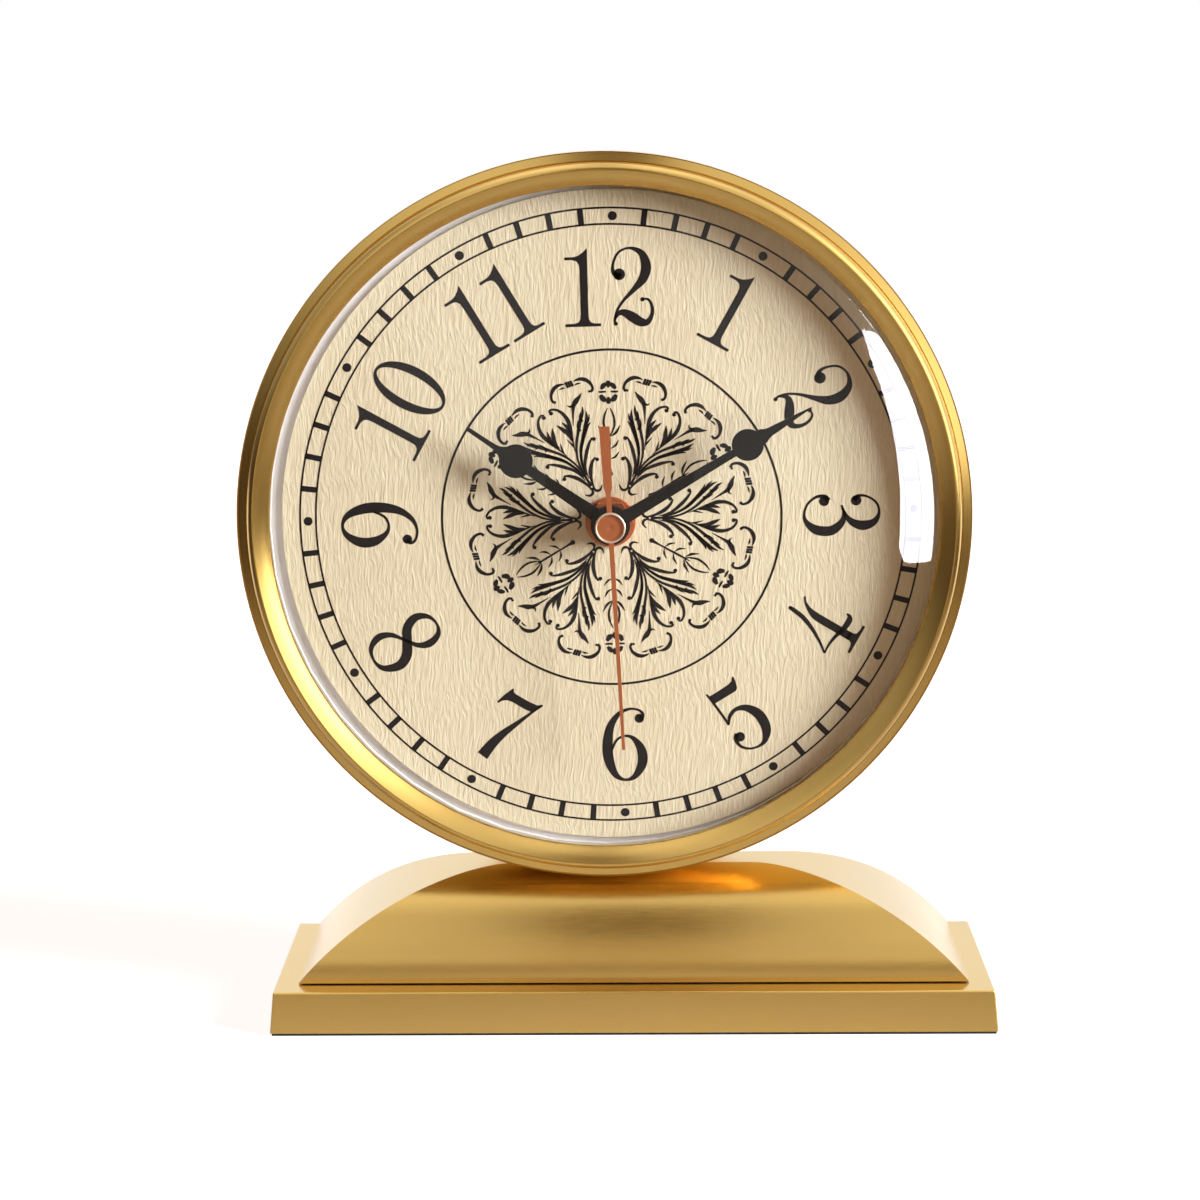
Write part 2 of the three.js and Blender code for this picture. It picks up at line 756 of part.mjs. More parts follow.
// Lens: a shallow crown, a rounded shoulder and a flat flange held behind the bezel's lip
function lensSurface(inset) {
  const lean = lensShoulderLean * degree;
  const outerFoot = bezelOpening - lensLipGap;
  const foot = outerFoot - inset / Math.sin(lean) + inset / Math.tan(lean);
  const shoulder = lensShoulderRadius - inset;
  const crownEdge = outerFoot - lensShoulderRadius;
  const crownRadius = (crownEdge * crownEdge + lensCrownRise * lensCrownRise) / (2 * lensCrownRise);
  const startLean = Math.asin(crownEdge / crownRadius);
  const rise = lensShoulderRadius * (Math.cos(startLean) - Math.cos(lean));
  const shoulderRun = lensShoulderRadius * (Math.sin(lean) - Math.sin(startLean));
  const wall = (lensShoulderRadius - shoulderRun) * Math.tan(lean);
  const crownFront = lensFlangeFront + wall + rise;
  const points = [];
  const shoulderSteps = 3;
  for (let i = 0; i <= shoulderSteps; i += 1) {
    const angle = lean + (startLean - lean) * i / shoulderSteps;
    points.push([
      crownEdge - lensShoulderRadius * Math.sin(startLean) + shoulder * Math.sin(angle),
      crownFront - lensShoulderRadius * Math.cos(startLean) + shoulder * Math.cos(angle),
    ]);
  }
  const crownSteps = 2;
  for (let i = 1; i <= crownSteps; i += 1) {
    const angle = startLean * (1 - i / crownSteps);
    points.push([
      (crownRadius - inset) * Math.sin(angle),
      crownFront + lensCrownRise - crownRadius + (crownRadius - inset) * Math.cos(angle),
    ]);
  }
  return { foot, points };
}

function buildLens() {
  const outer = lensSurface(0);
  const inner = lensSurface(lensThickness);
  const profile = [
    ...inner.points.slice().reverse(),
    [inner.foot, lensFlangeBack],
    [lensFlangeRadius, lensFlangeBack],
    [lensFlangeRadius, lensFlangeFront],
    [outer.foot, lensFlangeFront],
    ...outer.points,
  ];
  profile[0][0] = 0;
  profile.at(-1)[0] = 0;
  return revolve(profile, bigSteps);
}

function buildGasket() {
  const back = seatGap;
  const inner = bezelOpening + seatGap;
  return tube(inner, lensFlangeRadius, back, lensFlangeBack - seatGap, bigSteps);
}

function buildBoard() {
  const outline = circlePath(boardRadius, bigSteps);
  outline.holes.push(circlePath(
    bushRadius + seatGap, smallSteps, THREE.Path, new THREE.Vector2(dialShift, 0),
  ));
  return slab(outline, boardBack, boardFront);
}

function buildDial() {
  const outline = circlePath(dialRadius, bigSteps);
  outline.holes.push(circlePath(bushRadius + seatGap, smallSteps, THREE.Path));
  return slab(outline, -dialThickness, 0);
}

// Rear cover: a disc with a window on the back of the movement, and a skirt that locates it
function windowOutline(grow, Kind = THREE.Shape) {
  const half = housingSize / 2 + dropInGap + grow;
  return roundedBox(dialShift - half, -half, dialShift + half, half, windowCorner + grow, Kind);
}

function buildRearCover() {
  const disc = circlePath(caseInner - seatGap, bigSteps);
  disc.holes.push(windowOutline(0, THREE.Path));
  const skirt = windowOutline(windowSkirtWall);
  skirt.holes.push(windowOutline(0, THREE.Path));
  const plate = slab(disc, coverOuterFace, coverInnerFace, 4);
  const wall = slab(skirt, coverInnerFace - 0.5, coverInnerFace + windowSkirtDepth, 4);
  const screwHoles = coverScrewPlaces.map(
    (place) => rod(coverScrewRadius + seatGap, coverOuterFace - 1, coverInnerFace + 1, place, 8),
  );
  return cut(join(plate, wall), ...screwHoles);
}

function buildCoverScrew(place) {
  const length = coverThickness + seatGap * 2 + caseFlangeThickness + 1.5;
  const profile = screwProfile(coverScrewRadius, length, coverScrewRadius * 2.1, 0.9);
  return revolve(profile, pinSteps).translate(place.x, place.y, coverOuterFace - seatGap);
}

add(head, 'drum_case', buildCase(), satinBrass);
add(head, 'nut_plate', buildNutPlate(), steel);
add(head, 'bezel', buildBezel(), satinBrass);
add(head, 'lens', buildLens(), clearPlastic);
add(head, 'lens_gasket', buildGasket(), whitePlastic);
add(head, 'dial_board', buildBoard(), whiteBoard);
add(movement, 'dial_plate', buildDial(), creamCard);
add(head, 'rear_cover', buildRearCover(), blackPlastic);
coverScrewPlaces.forEach((place, i) => {
  add(head, `rear_cover_screw_${i + 1}`, buildCoverScrew(place), steel);
});

// Movement housing: a square tray with a threaded bush, a cell bay and pivot bosses
const housingHalf = housingSize / 2;
const roomHalf = housingHalf - housingWall;
const cellPlace = -roomHalf + cellRadius + seatGap;
const bayTop = cellPlace + cellRadius + seatGap + bayWall;
const coilPlace = roomHalf - 4.6;
const coilHigh = roomHalf - coilWallRoom;
const coilLow = coilHigh - coilSpan;
const coilRadius = 3.4;
const statorThickness = 0.8;
const statorBarWidth = 4;
const statorEyeWall = 2.3;
const magnetClearance = 0.5;
const circuitLow = 8;
const circuitBack = lidFront + 1.8;
const circuitThickness = 1;
const circuitLeft = -roomHalf + circuitWallRoom;
const circuitRight = circuitLeft + circuitWidth;

function buildHousing() {
  const outline = roundedBox(-housingHalf, -housingHalf, housingHalf, housingHalf, housingCorner);
  const room = roundedBox(-roomHalf, -roomHalf, roomHalf, roomHalf, housingCorner - housingWall);
  const tray = cut(
    slab(outline, housingBack, housingFront, 4),
    slab(room, housingBack - 1, housingFloor, 4),
  );
  const divider = box(
    -roomHalf - 0.2, bayTop - bayWall, roomHalf + 0.2, bayTop, housingBack, housingFloor + 0.2,
  );
  const bush = rod(bushRadius, housingFloor, bushFront, centrePlace, smallSteps);
  const stud = rod(studRadius, motionLayer - wheelThickness - 0.6, housingFloor + 0.2, motionPlace);
  const pivotPlaces = [thirdPlace, intermediatePlace, rotorPlace, settingPlace];
  const bosses = pivotPlaces.map(
    (place) => rod(pivotBossRadius, housingFloor - pivotBossHeight, housingFloor + 0.2, place),
  );
  const legs = [coilLow, coilHigh].map(
    (y) => rod(1.5, statorFront + seatGap, housingFloor + 0.2, new THREE.Vector2(coilPlace, y)),
  );
  const pivots = pivotPlaces.map(
    (place) => rod(arborRadius + runGap, housingFloor - 2, housingFloor + 0.1, place),
  );
  const shaftWay = rod(hourPipeRadius + runGap, housingFloor - 1, bushFront + 1, centrePlace, smallSteps);
  return cut(join(tray, divider, bush, stud, ...bosses, ...legs), shaftWay, ...pivots);
}

// Lid of the movement: covers the wheels, leaves the cell bay open, and carries the rear pivots
function buildLid() {
  const gap = seatGap;
  const outline = roundedBox(
    -roomHalf + gap, bayTop + gap, roomHalf - gap, roomHalf - gap, housingCorner - housingWall - gap,
  );
  const plate = slab(outline, housingBack, lidFront, 3);
  const pivotPlaces = [centrePlace, thirdPlace, intermediatePlace, rotorPlace];
  const bosses = pivotPlaces.map(
    (place) => rod(pivotBossRadius, lidFront - 0.2, lidFront + pivotBossHeight, place),
  );
  const pegs = [0.25, 0.7].map((share) => circuitLeft + circuitWidth * share).map(
    (x) => rod(1.2, lidFront - 0.2, circuitBack - seatGap, new THREE.Vector2(x, circuitLow + 9)),
  );
  const pivots = pivotPlaces.map(
    (place) => rod(arborRadius + runGap, lidFront + 0.1, lidFront + 3, place),
  );
  const settingWay = rod(settingArborRadius + runGap, housingBack - 1, lidFront + 1, settingPlace);
  return cut(join(plate, ...bosses, ...pegs), ...pivots, settingWay);
}

function buildRubberWasher() {
  const front = boardBack - seatGap;
  return tube(bushRadius + seatGap, rubberRadius, front - rubberThickness, front);
}

const washerRadius = 6.25;
const washerThickness = 0.6;
const nutRadius = 5.8;
const nutThickness = 2;
const nutBack = seatGap + washerThickness + seatGap;
function buildDialWasher() {
  return tube(bushRadius + seatGap, washerRadius, seatGap, seatGap + washerThickness, smallSteps + 4);
}

function buildBushNut() {
  const nut = circlePath(nutRadius, 6);
  nut.holes.push(circlePath(bushRadius + seatGap, smallSteps, THREE.Path));
  return slab(nut, nutBack, nutBack + nutThickness);
}

// Cell and its contacts
function buildCell() {
  const half = cellLength / 2;
  const profile = [
    [0, -half],
    [cellRadius - 1.6, -half],
    [cellRadius - 0.6, -half + 0.4],
    [cellRadius, -half + 1],
    [cellRadius, half - 1],
    [cellRadius - 0.8, half],
    [cellNubRadius, half],
    [cellNubRadius, half + cellNubLength],
    [0, half + cellNubLength],
  ];
  return revolve(profile, smallSteps + 2)
    .rotateY(Math.PI / 2)
    .translate(cellShift, cellPlace, cellForward);
}

const cellShift = -cellNubLength / 2;
const cellForward = housingBack + 0.3 + cellRadius;

function buildPositiveContact() {
  const nubEnd = cellShift + cellLength / 2 + cellNubLength;
  const left = nubEnd + seatGap;
  return box(
    left, cellPlace - contactHeight / 2, left + contactThickness, cellPlace + contactHeight / 2,
    housingBack + 1, housingFloor - seatGap,
  );
}

function buildNegativeContact() {
  const cellEnd = cellShift - cellLength / 2;
  const right = -roomHalf + seatGap + contactThickness;
  const plate = box(
    -roomHalf + seatGap, cellPlace - contactHeight / 2, right, cellPlace + contactHeight / 2,
    housingBack + 1, housingFloor - seatGap,
  );
  const cone = new THREE.CylinderGeometry(1.2, 3, cellEnd - seatGap - right + 0.2, pinSteps)
    .rotateZ(-Math.PI / 2)
    .translate((cellEnd - seatGap + right - 0.2) / 2, cellPlace, cellForward);
  return join(plate, cone);
}

// Stepping motor: stator plate, core, coil and rotor
function barShape(from, to, width) {
  const along = to.clone().sub(from).normalize();
  const side = new THREE.Vector2(-along.y, along.x).multiplyScalar(width / 2);
  return new THREE.Shape([
    from.clone().add(side),
    from.clone().sub(side),
    to.clone().sub(side),
    to.clone().add(side),
  ]);
}

function buildStator() {
  const back = statorFront - statorThickness;
  const bore = magnetRadius + magnetClearance;
  const eye = rod(bore + statorEyeWall, back, statorFront, rotorPlace, smallSteps);
  const arms = [coilLow, coilHigh].map((y) => {
    const knee = new THREE.Vector2(coilPlace - coilRadius - 2.6, y);
    const end = new THREE.Vector2(coilPlace, y);
    return join(
      slab(barShape(rotorPlace, knee, statorBarWidth), back, statorFront),
      rod(statorBarWidth / 2, back, statorFront, knee),
      slab(barShape(knee, end, statorBarWidth), back, statorFront),
      rod(statorBarWidth / 2, back, statorFront, end),
    );
  });
  const hole = rod(bore, back - 1, statorFront + 1, rotorPlace, smallSteps);
  return cut(join(eye, ...arms), hole);
}

const coreFront = statorFront - statorThickness - seatGap;
const coreThickness = 0.8;
function buildCore() {
  const back = coreFront - coreThickness;
  const ends = [coilLow, coilHigh].map(
    (y) => rod(statorBarWidth / 2, back, coreFront, new THREE.Vector2(coilPlace, y)),
  );
  const bar = box(coilPlace - 1.2, coilLow, coilPlace + 1.2, coilHigh, back, coreFront);
  return join(bar, ...ends);
}

function buildCoil() {
  const low = coilLow + statorBarWidth / 2 + 0.5;
  const high = coilHigh - statorBarWidth / 2 - 0.5;
  const bore = 1.7;
  const flange = 0.7;
  const windingRadius = coilRadius - 0.5;
  const profile = [
    [bore, low],
    [coilRadius, low],
    [coilRadius, low + flange],
    [windingRadius, low + flange],
    [windingRadius, high - flange],
    [coilRadius, high - flange],
    [coilRadius, high],
    [bore, high],
  ];
  return revolve(profile, smallSteps)
    .rotateX(-Math.PI / 2)
    .translate(coilPlace, 0, coreFront - coreThickness / 2);
}

function buildCircuitBoard() {
  return box(
    circuitLeft, circuitLow, circuitRight, roomHalf - circuitWallRoom,
    circuitBack, circuitBack + circuitThickness,
  );
}

function buildCrystal() {
  const radius = 1;
  return rod(radius, -3, 3, centrePlace, 12)
    .rotateX(Math.PI / 2)
    .translate(-roomHalf + 4, circuitLow + 6, circuitBack + circuitThickness + radius + seatGap);
}

add(movement, 'movement_housing', buildHousing(), blackPlastic);
add(movement, 'movement_lid', buildLid(), blackPlastic);
add(movement, 'rubber_washer', buildRubberWasher(), blackRubber);
add(movement, 'dial_washer', buildDialWasher(), copper);
add(movement, 'bush_nut', buildBushNut(), copper);
add(movement, 'cell', buildCell(), cellSkin);
add(movement, 'contact_positive', buildPositiveContact(), steel);
add(movement, 'contact_negative', buildNegativeContact(), steel);
add(movement, 'stator', buildStator(), steel);
add(movement, 'coil_core', buildCore(), steel);
add(movement, 'coil', buildCoil(), copperWire);
add(movement, 'circuit_board', buildCircuitBoard(), boardGreen);
add(movement, 'quartz_crystal', buildCrystal(), steel);

// Going train: the rotor drives the seconds wheel, and that drives the centre wheel
const engage = 0.2; // a pinion stands past its wheel by this much
const lap = 0.1; // a pinion sinks this far into the wheel it is moulded with

function buildRotor() {
  return arborStack(
    rotorPlace,
    rod(arborRadius, pivotBack, pivotFront),
    rod(magnetRadius, magnetFront - magnetLength, magnetFront, centrePlace, smallSteps),
    gear(
      rotorLeaves, rotorModule, rotorPhase,
      intermediateLayer - wheelThickness - engage, intermediateLayer + engage,
    ),
  );
}

function buildIntermediateWheel() {
  const wheelBack = intermediateLayer - wheelThickness;
  return arborStack(
    intermediatePlace,
    rod(arborRadius, pivotBack, pivotFront),
    gear(intermediateTeeth, rotorModule, 0, wheelBack, intermediateLayer),
    gear(
      intermediateLeaves, secondsModule, intermediatePinionPhase, wheelBack + lap, secondsLayer + engage,
    ),
  );
}

function buildSecondsWheel() {
  const wheelBack = secondsLayer - wheelThickness;
  return arborStack(
    centrePlace,
    rod(arborRadius, pivotBack, secondArborFront),
    gear(secondsTeeth, secondsModule, secondsPhase, wheelBack, secondsLayer),
    gear(secondsLeaves, thirdModule, 0, wheelBack + lap, thirdLayer + engage),
  );
}

function buildThirdWheel() {
  const wheelBack = thirdLayer - wheelThickness;
  return arborStack(
    thirdPlace,
    rod(arborRadius, pivotBack, pivotFront),
    gear(thirdTeeth, thirdModule, thirdPhase, wheelBack, thirdLayer),
    gear(thirdLeaves, centreModule, 0, wheelBack + lap, centreLayer + engage),
  );
}

function buildCentreWheel() {
  return gear(
    centreTeeth, centreModule, centrePhase, centreLayer - wheelThickness, centreLayer,
    minutePipeRadius + runGap,
  );
}

// Motion work: the minute pipe turns the hour wheel twelve times slower, and the knob sets both
function buildMinutePipe() {
  const flangeFront = minutePipeBack + pipeStep;
  const pipe = revolve([
    [minutePipeBore, minutePipeBack],
    [minutePipeRadius + 1.1, minutePipeBack],
    [minutePipeRadius + 1.1, flangeFront],
    [minutePipeRadius, flangeFront],
    [minutePipeRadius, minutePipeFront],
    [minutePipeBore, minutePipeFront],
  ]);
  const leaves = gear(
    minuteLeaves, motionModule, 0, motionLayer - wheelThickness - engage, motionLayer + engage,
    minutePipeBore + 0.3,
  );
  return join(pipe, leaves);
}

function buildMotionWheel() {
  const bore = studRadius + runGap;
  return arborStack(
    motionPlace,
    gear(motionTeeth, motionModule, motionPhase, motionLayer - wheelThickness, motionLayer, bore),
    gear(motionLeaves, hourModule, 0, motionLayer - lap, hourLayer + engage, bore),
  );
}

function buildHourWheel() {
  const wheelBack = hourLayer - wheelThickness;
  const wheel = gear(hourTeeth, hourModule, hourPhase, wheelBack, hourLayer, hourPipeBore + 0.2);
  return join(wheel, tube(hourPipeBore, hourPipeRadius, wheelBack, hourPipeFront));
}

const knobFront = housingBack - 0.5;
const knobRadius = 6.5;
const knobHeight = 3.4;
const knobFlutes = 14;

function buildSettingArbor() {
  return arborStack(
    settingPlace,
    rod(arborRadius, motionLayer, pivotFront),
    rod(settingArborRadius, knobFront + seatGap, motionLayer - wheelThickness - engage),
    gear(
      settingLeaves, motionModule, settingPhase,
      motionLayer - wheelThickness - engage - lap, motionLayer + engage,
    ),
  );
}

// The knob: a disc with a fluted rim and a dished back
function buildSettingKnob() {
  const shape = new THREE.Shape();
  for (let i = 0; i < knobFlutes * 2; i += 1) {
    const radius = i % 2 === 0 ? knobRadius : knobRadius - 0.5;
    const angle = Math.PI * i / knobFlutes;
    const x = radius * Math.cos(angle);
    const y = radius * Math.sin(angle);
    if (i === 0) shape.moveTo(x, y);
    else shape.lineTo(x, y);
  }
  shape.closePath();
  const knobBack = knobFront - knobHeight;
  const dish = tube(2.2, knobRadius - 1.6, knobBack - 1, knobBack + 0.9, smallSteps);
  return cut(slab(shape, knobBack, knobFront), dish).translate(settingPlace.x, settingPlace.y, 0);
}

add(movement, 'rotor', buildRotor(), magnetSteel);
add(movement, 'intermediate_wheel', buildIntermediateWheel(), whitePlastic);
add(movement, 'seconds_wheel', buildSecondsWheel(), whitePlastic);
add(movement, 'third_wheel', buildThirdWheel(), whitePlastic);
add(movement, 'centre_wheel', buildCentreWheel(), plainBrass);
add(movement, 'minute_pipe', buildMinutePipe(), plainBrass);
add(movement, 'motion_wheel', buildMotionWheel(), whitePlastic);
add(movement, 'hour_wheel', buildHourWheel(), whitePlastic);
add(movement, 'setting_arbor', buildSettingArbor(), whitePlastic);
add(movement, 'setting_knob', buildSettingKnob(), blackPlastic);

// Hands are drawn pointing at twelve and then turned clockwise
function mirrored(outline) {
  const left = outline.slice().reverse().map(([x, y]) => [-x, y]);
  const points = [...outline, ...left].map(([x, y]) => new THREE.Vector2(x, y));
  return new THREE.Shape(points);
}

function arcPoints(radius, middle, from, to, steps) {
  const points = [];
  for (let i = 0; i <= steps; i += 1) {
    const angle = (from + (to - from) * i / steps) * degree;
    points.push([radius * Math.cos(angle), middle + radius * Math.sin(angle)]);
  }
  return points;
}

// A spade hand: a tapering stem, a round bulge and a point or bar beyond it
function spadeHand(sizes, bore, back) {
  const { length, bulgeReach, bulgeRadius, stemRoot, stemEnd, neck, tip } = sizes;
  const bossAngle = Math.acos(stemRoot / handBossRadius) / degree;
  const bulgeLow = -Math.acos(stemEnd / bulgeRadius) / degree;
  const bulgeHigh = Math.acos(neck / bulgeRadius) / degree;
  const flare = length - bulgeReach - bulgeRadius;
  const outline = [
    ...arcPoints(handBossRadius, 0, -90, bossAngle, 8),
    ...arcPoints(bulgeRadius, bulgeReach, bulgeLow, bulgeHigh - 12, 7),
    [neck * 1.25, bulgeReach + bulgeRadius + flare * 0.12],
    [neck, bulgeReach + bulgeRadius + flare * 0.3],
    [tip, length],
  ];
  const shape = mirrored(outline.slice(1));
  shape.holes.push(circlePath(bore, smallSteps, THREE.Path));
  return slab(shape, back, back + handThickness);
}

function buildHourHand() {
  const sizes = {
    length: hourHandLength,
    bulgeReach: hourBulgeReach,
    bulgeRadius: hourBulgeRadius,
    stemRoot: 1.7,
    stemEnd: 1.25,
    neck: 0.62,
    tip: 0.5,
  };
  const hand = spadeHand(sizes, hourPipeRadius + pipeSpacing, hourHandBack);
  return hand.rotateZ(-hourHandAngle * degree);
}

function buildMinuteHand() {
  const sizes = {
    length: minuteHandLength,
    bulgeReach: minuteBulgeReach,
    bulgeRadius: minuteBulgeRadius,
    stemRoot: 1.7,
    stemEnd: 0.95,
    neck: 0.95,
    tip: 0.12,
  };
  const hand = spadeHand(sizes, minutePipeRadius + pipeSpacing, minuteHandBack);
  return hand.rotateZ(-minuteHandAngle * degree);
}

function buildSecondHand() {
  const neckHalf = 0.62;
  const tailHalf = secondTailWidth / 2;
  const tailRoot = 9;
  const outline = mirrored([
    [tailHalf, -secondTailReach],
    [tailHalf * 0.8, -tailRoot],
    [neckHalf, -tailRoot + 0.8],
    [neckHalf, 2],
    [neckHalf * 0.6, secondHandReach],
  ]);
  const blade = slab(outline, secondHandBack, secondHandBack + secondHandThickness);
  const hub = rod(secondCapRadius * 0.6, secondHandBack, secondHandBack + secondHandThickness);
  return join(blade, hub).rotateZ(-secondHandAngle * degree);
}

function buildSecondCap() {
  const front = secondCapBack + secondCapHeight;
  const chamfer = 0.4;
  return revolve([
    [0, secondCapBack],
    [secondCapRadius, secondCapBack],
    [secondCapRadius, front - chamfer],
    [secondCapRadius - chamfer, front],
    [0, front],
  ], smallSteps + 8);
}

add(movement, 'hour_hand', buildHourHand(), blackMetal);
add(movement, 'minute_hand', buildMinuteHand(), blackMetal);
add(movement, 'second_hand', buildSecondHand(), copper);
add(movement, 'second_cap', buildSecondCap(), copper);

export default clock;
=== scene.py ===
"""Desk clock: a brass drum on an arched block and a plinth, with a printed dial, spade hands and a movement."""
import math

import bpy
from mathutils import Matrix, Quaternion, Vector


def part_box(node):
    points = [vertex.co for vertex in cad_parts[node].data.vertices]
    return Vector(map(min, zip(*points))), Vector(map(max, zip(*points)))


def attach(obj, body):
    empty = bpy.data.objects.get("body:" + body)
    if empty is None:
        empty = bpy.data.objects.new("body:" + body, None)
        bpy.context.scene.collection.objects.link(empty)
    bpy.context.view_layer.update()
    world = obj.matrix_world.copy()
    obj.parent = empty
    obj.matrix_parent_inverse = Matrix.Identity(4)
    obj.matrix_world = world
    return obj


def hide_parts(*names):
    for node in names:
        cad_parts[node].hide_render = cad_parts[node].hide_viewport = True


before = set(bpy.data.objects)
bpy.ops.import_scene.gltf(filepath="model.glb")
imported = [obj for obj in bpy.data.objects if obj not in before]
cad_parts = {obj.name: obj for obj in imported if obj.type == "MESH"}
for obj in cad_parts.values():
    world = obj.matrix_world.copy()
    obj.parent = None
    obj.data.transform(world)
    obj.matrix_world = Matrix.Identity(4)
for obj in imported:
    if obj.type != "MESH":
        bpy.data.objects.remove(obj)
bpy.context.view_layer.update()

bl_info = {
    "name": "Desk clock",
    "version": (1, 0, 0),
    "blender": (4, 5, 0),
    "location": "3D View > Sidebar > Clock",
    "description": "Models a brass desk clock piece by piece on its packed frame",
    "category": "Add Mesh",
}

MM = 0.001


def middle(node):
    """The middle of a node's box."""
    low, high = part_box(node)
    return (low + high) / 2


DRUM = middle("bezel")  # the drum's axis runs along Y through here
SHAFT = middle("dial_plate")  # and the hands' axis through here
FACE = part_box("dial_plate")[0].y  # the front of the dial


def ahead(distance):
    """World Y of a place so many millimetres in front of the dial's face."""
    return FACE - distance * MM


def ahead_of(y):
    """How many millimetres a world Y lies in front of the dial's face."""
    return (FACE - y) / MM


def radius_of(node):
    """Half of a round node's width, in millimetres."""
    low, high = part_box(node)
    return (high.x - low.x) / 2 / MM


def on_face(place):
    """Where an axis that runs along Y through a place meets the dial's face."""
    return (place.x, FACE, place.z)


DRUM_AXIS = on_face(DRUM)
SHAFT_AXIS = on_face(SHAFT)


# Properties

def length(name, description, default):
    """A length that a user may change, in metres."""
    return bpy.props.FloatProperty(
        name=name, description=description, default=default, min=0.0, unit="LENGTH", subtype="DISTANCE",
    )


def weight(name, description, default):
    """A share by which printed strokes are wider."""
    return bpy.props.FloatProperty(name=name, description=description, default=default, min=0.1)


def tint(name, description, default):
    """A colour that a user may change."""
    return bpy.props.FloatVectorProperty(
        name=name, description=description, default=default, size=3, min=0.0, max=1.0, subtype="COLOR",
    )


class ClockBaseSizes(bpy.types.PropertyGroup):
    """Plinth and arched block."""
    plinth_draft: length("Plinth draft", "How far each side leans in on its way up", 0.95 * MM)
    plinth_edge: length("Plinth edge", "Width of the rounded top edges", 2.0 * MM)
    arch_flat: length("Flat top", "Length of the level part of the arched block", 60 * MM)
    arch_nose: length("Nose", "How far the rounded front would rise above the flat top", 0.5 * MM)
    arch_edge: length("Arch edge", "Width of the softened creases", 0.35 * MM)


class ClockDrumSizes(bpy.types.PropertyGroup):
    """Case, bezel and lens."""
    band_width: length("Band", "Width of the set-back band of the bezel", 2.5 * MM)
    round_width: length("Round", "Width of the convex round of the bezel", 1.9 * MM)
    slope_width: length("Slope", "Width of the inner slope of the bezel", 3.8 * MM)
    case_wall: length("Case wall", "Thickness of the case", 1 * MM)
    lens_rise: length("Crown", "Rise of the shallow crown of the lens", 5.1 * MM)


class ClockDialSizes(bpy.types.PropertyGroup):
    """Dial and its print."""
    numeral_height: length("Numeral height", "Height of the figures", 19.0 * MM)
    numeral_weight: weight("Numeral weight", "Share by which the figures' strokes are wider", 1.1)
    ornament_weight: weight("Ornament weight", "Share by which the ornament's strokes are wider", 1.6)
    track_outer: length("Track, outer line", "Radius of the outer line of the minute track", 76.7 * MM)
    track_inner: length("Track, inner line", "Radius of the inner line of the minute track", 72.8 * MM)
    ring_radius: length("Ring", "Radius of the line round the ornament", 41.9 * MM)
    print_turn: bpy.props.FloatProperty(
        name="Print turn", description="How far the print stands turned to the left",
        default=math.radians(1.1), subtype="ANGLE",
    )


class ClockHandSizes(bpy.types.PropertyGroup):
    """Hands."""
    hour_length: length("Hour hand", "From the axis to the tip", 42.1 * MM)
    minute_length: length("Minute hand", "From the axis to the tip", 56.8 * MM)
    second_length: length("Second hand", "From the axis to the tip", 56.3 * MM)
    tail_length: length("Second hand's tail", "From the axis to the end of the counterweight", 24.7 * MM)
    hand_edge: length("Hand edge", "Width of the softened edges", 0.07 * MM)


class ClockColours(bpy.types.PropertyGroup):
    """Colours."""
    brass: tint("Brass", "Satin brass of the base, drum and bezel", (0.76, 0.51, 0.138))
    copper: tint("Copper", "Copper finish of the second hand, washer and nut", (0.56, 0.17, 0.065))
    cream: tint("Cream", "Dial card", (0.82, 0.745, 0.56))
    ink: tint("Ink", "Print on the dial", (0.008, 0.0065, 0.0075))
    board: tint("Board", "White board behind the dial", (0.88, 0.86, 0.88))
    sleeve: tint("Cell sleeve", "Sleeve of the cell", (0.03, 0.09, 0.055))


class ClockSettings(bpy.types.PropertyGroup):
    """All settings of the clock."""
    base: bpy.props.PointerProperty(type=ClockBaseSizes, name="Base")
    drum: bpy.props.PointerProperty(type=ClockDrumSizes, name="Drum")
    dial: bpy.props.PointerProperty(type=ClockDialSizes, name="Dial")
    hands: bpy.props.PointerProperty(type=ClockHandSizes, name="Hands")
    colours: bpy.props.PointerProperty(type=ClockColours, name="Colours")


# Modelling by hand

def pick_nothing():
    """Object mode with nothing selected."""
    if bpy.context.object and bpy.context.object.mode != "OBJECT":
        bpy.ops.object.mode_set(mode="OBJECT")
    bpy.ops.object.select_all(action="DESELECT")


def pick(*pieces):
    """Selects these pieces, the last one active."""
    pick_nothing()
    for piece in pieces:
        piece.select_set(True)
    bpy.context.view_layer.objects.active = pieces[-1]


def settled(name):
    """Names the active object and puts its place into its mesh."""
    piece = bpy.context.object
    if piece.mode != "OBJECT":
        bpy.ops.object.mode_set(mode="OBJECT")
    piece.name = piece.data.name = name
    bpy.ops.object.transform_apply(location=True, rotation=True, scale=True)
    return piece


def smoothed(piece, degrees=30):
    """Shades smooth up to an angle, and keeps large faces flat beside their rounded edges."""
    pick(piece)
    bpy.ops.object.shade_smooth_by_angle(angle=math.radians(degrees))
    return modified(piece, "WEIGHTED_NORMAL", keep_sharp=True, weight=80)


def modified(piece, kind, **settings):
    """Adds a modifier and applies it."""
    pick(piece)
    modifier = piece.modifiers.new(kind, kind)
    for key, value in settings.items():
        setattr(modifier, key, value)
    bpy.ops.object.modifier_apply(modifier=modifier.name)
    return piece


def bevelled(piece, width, segments, sharp, smooth):
    """Rounds the edges sharper than one angle, and shades smooth up to another."""
    modified(
        piece, "BEVEL", width=width, segments=segments, limit_method="ANGLE", angle_limit=math.radians(sharp),
    )
    return smoothed(piece, smooth)


def combined(piece, operation, *others):
    """Puts other pieces to a piece, takes them out of it or keeps what both share. The others are used up."""
    for other in others:
        modified(piece, "BOOLEAN", operation=operation, object=other, solver="EXACT")
        bpy.data.objects.remove(other)
    return piece


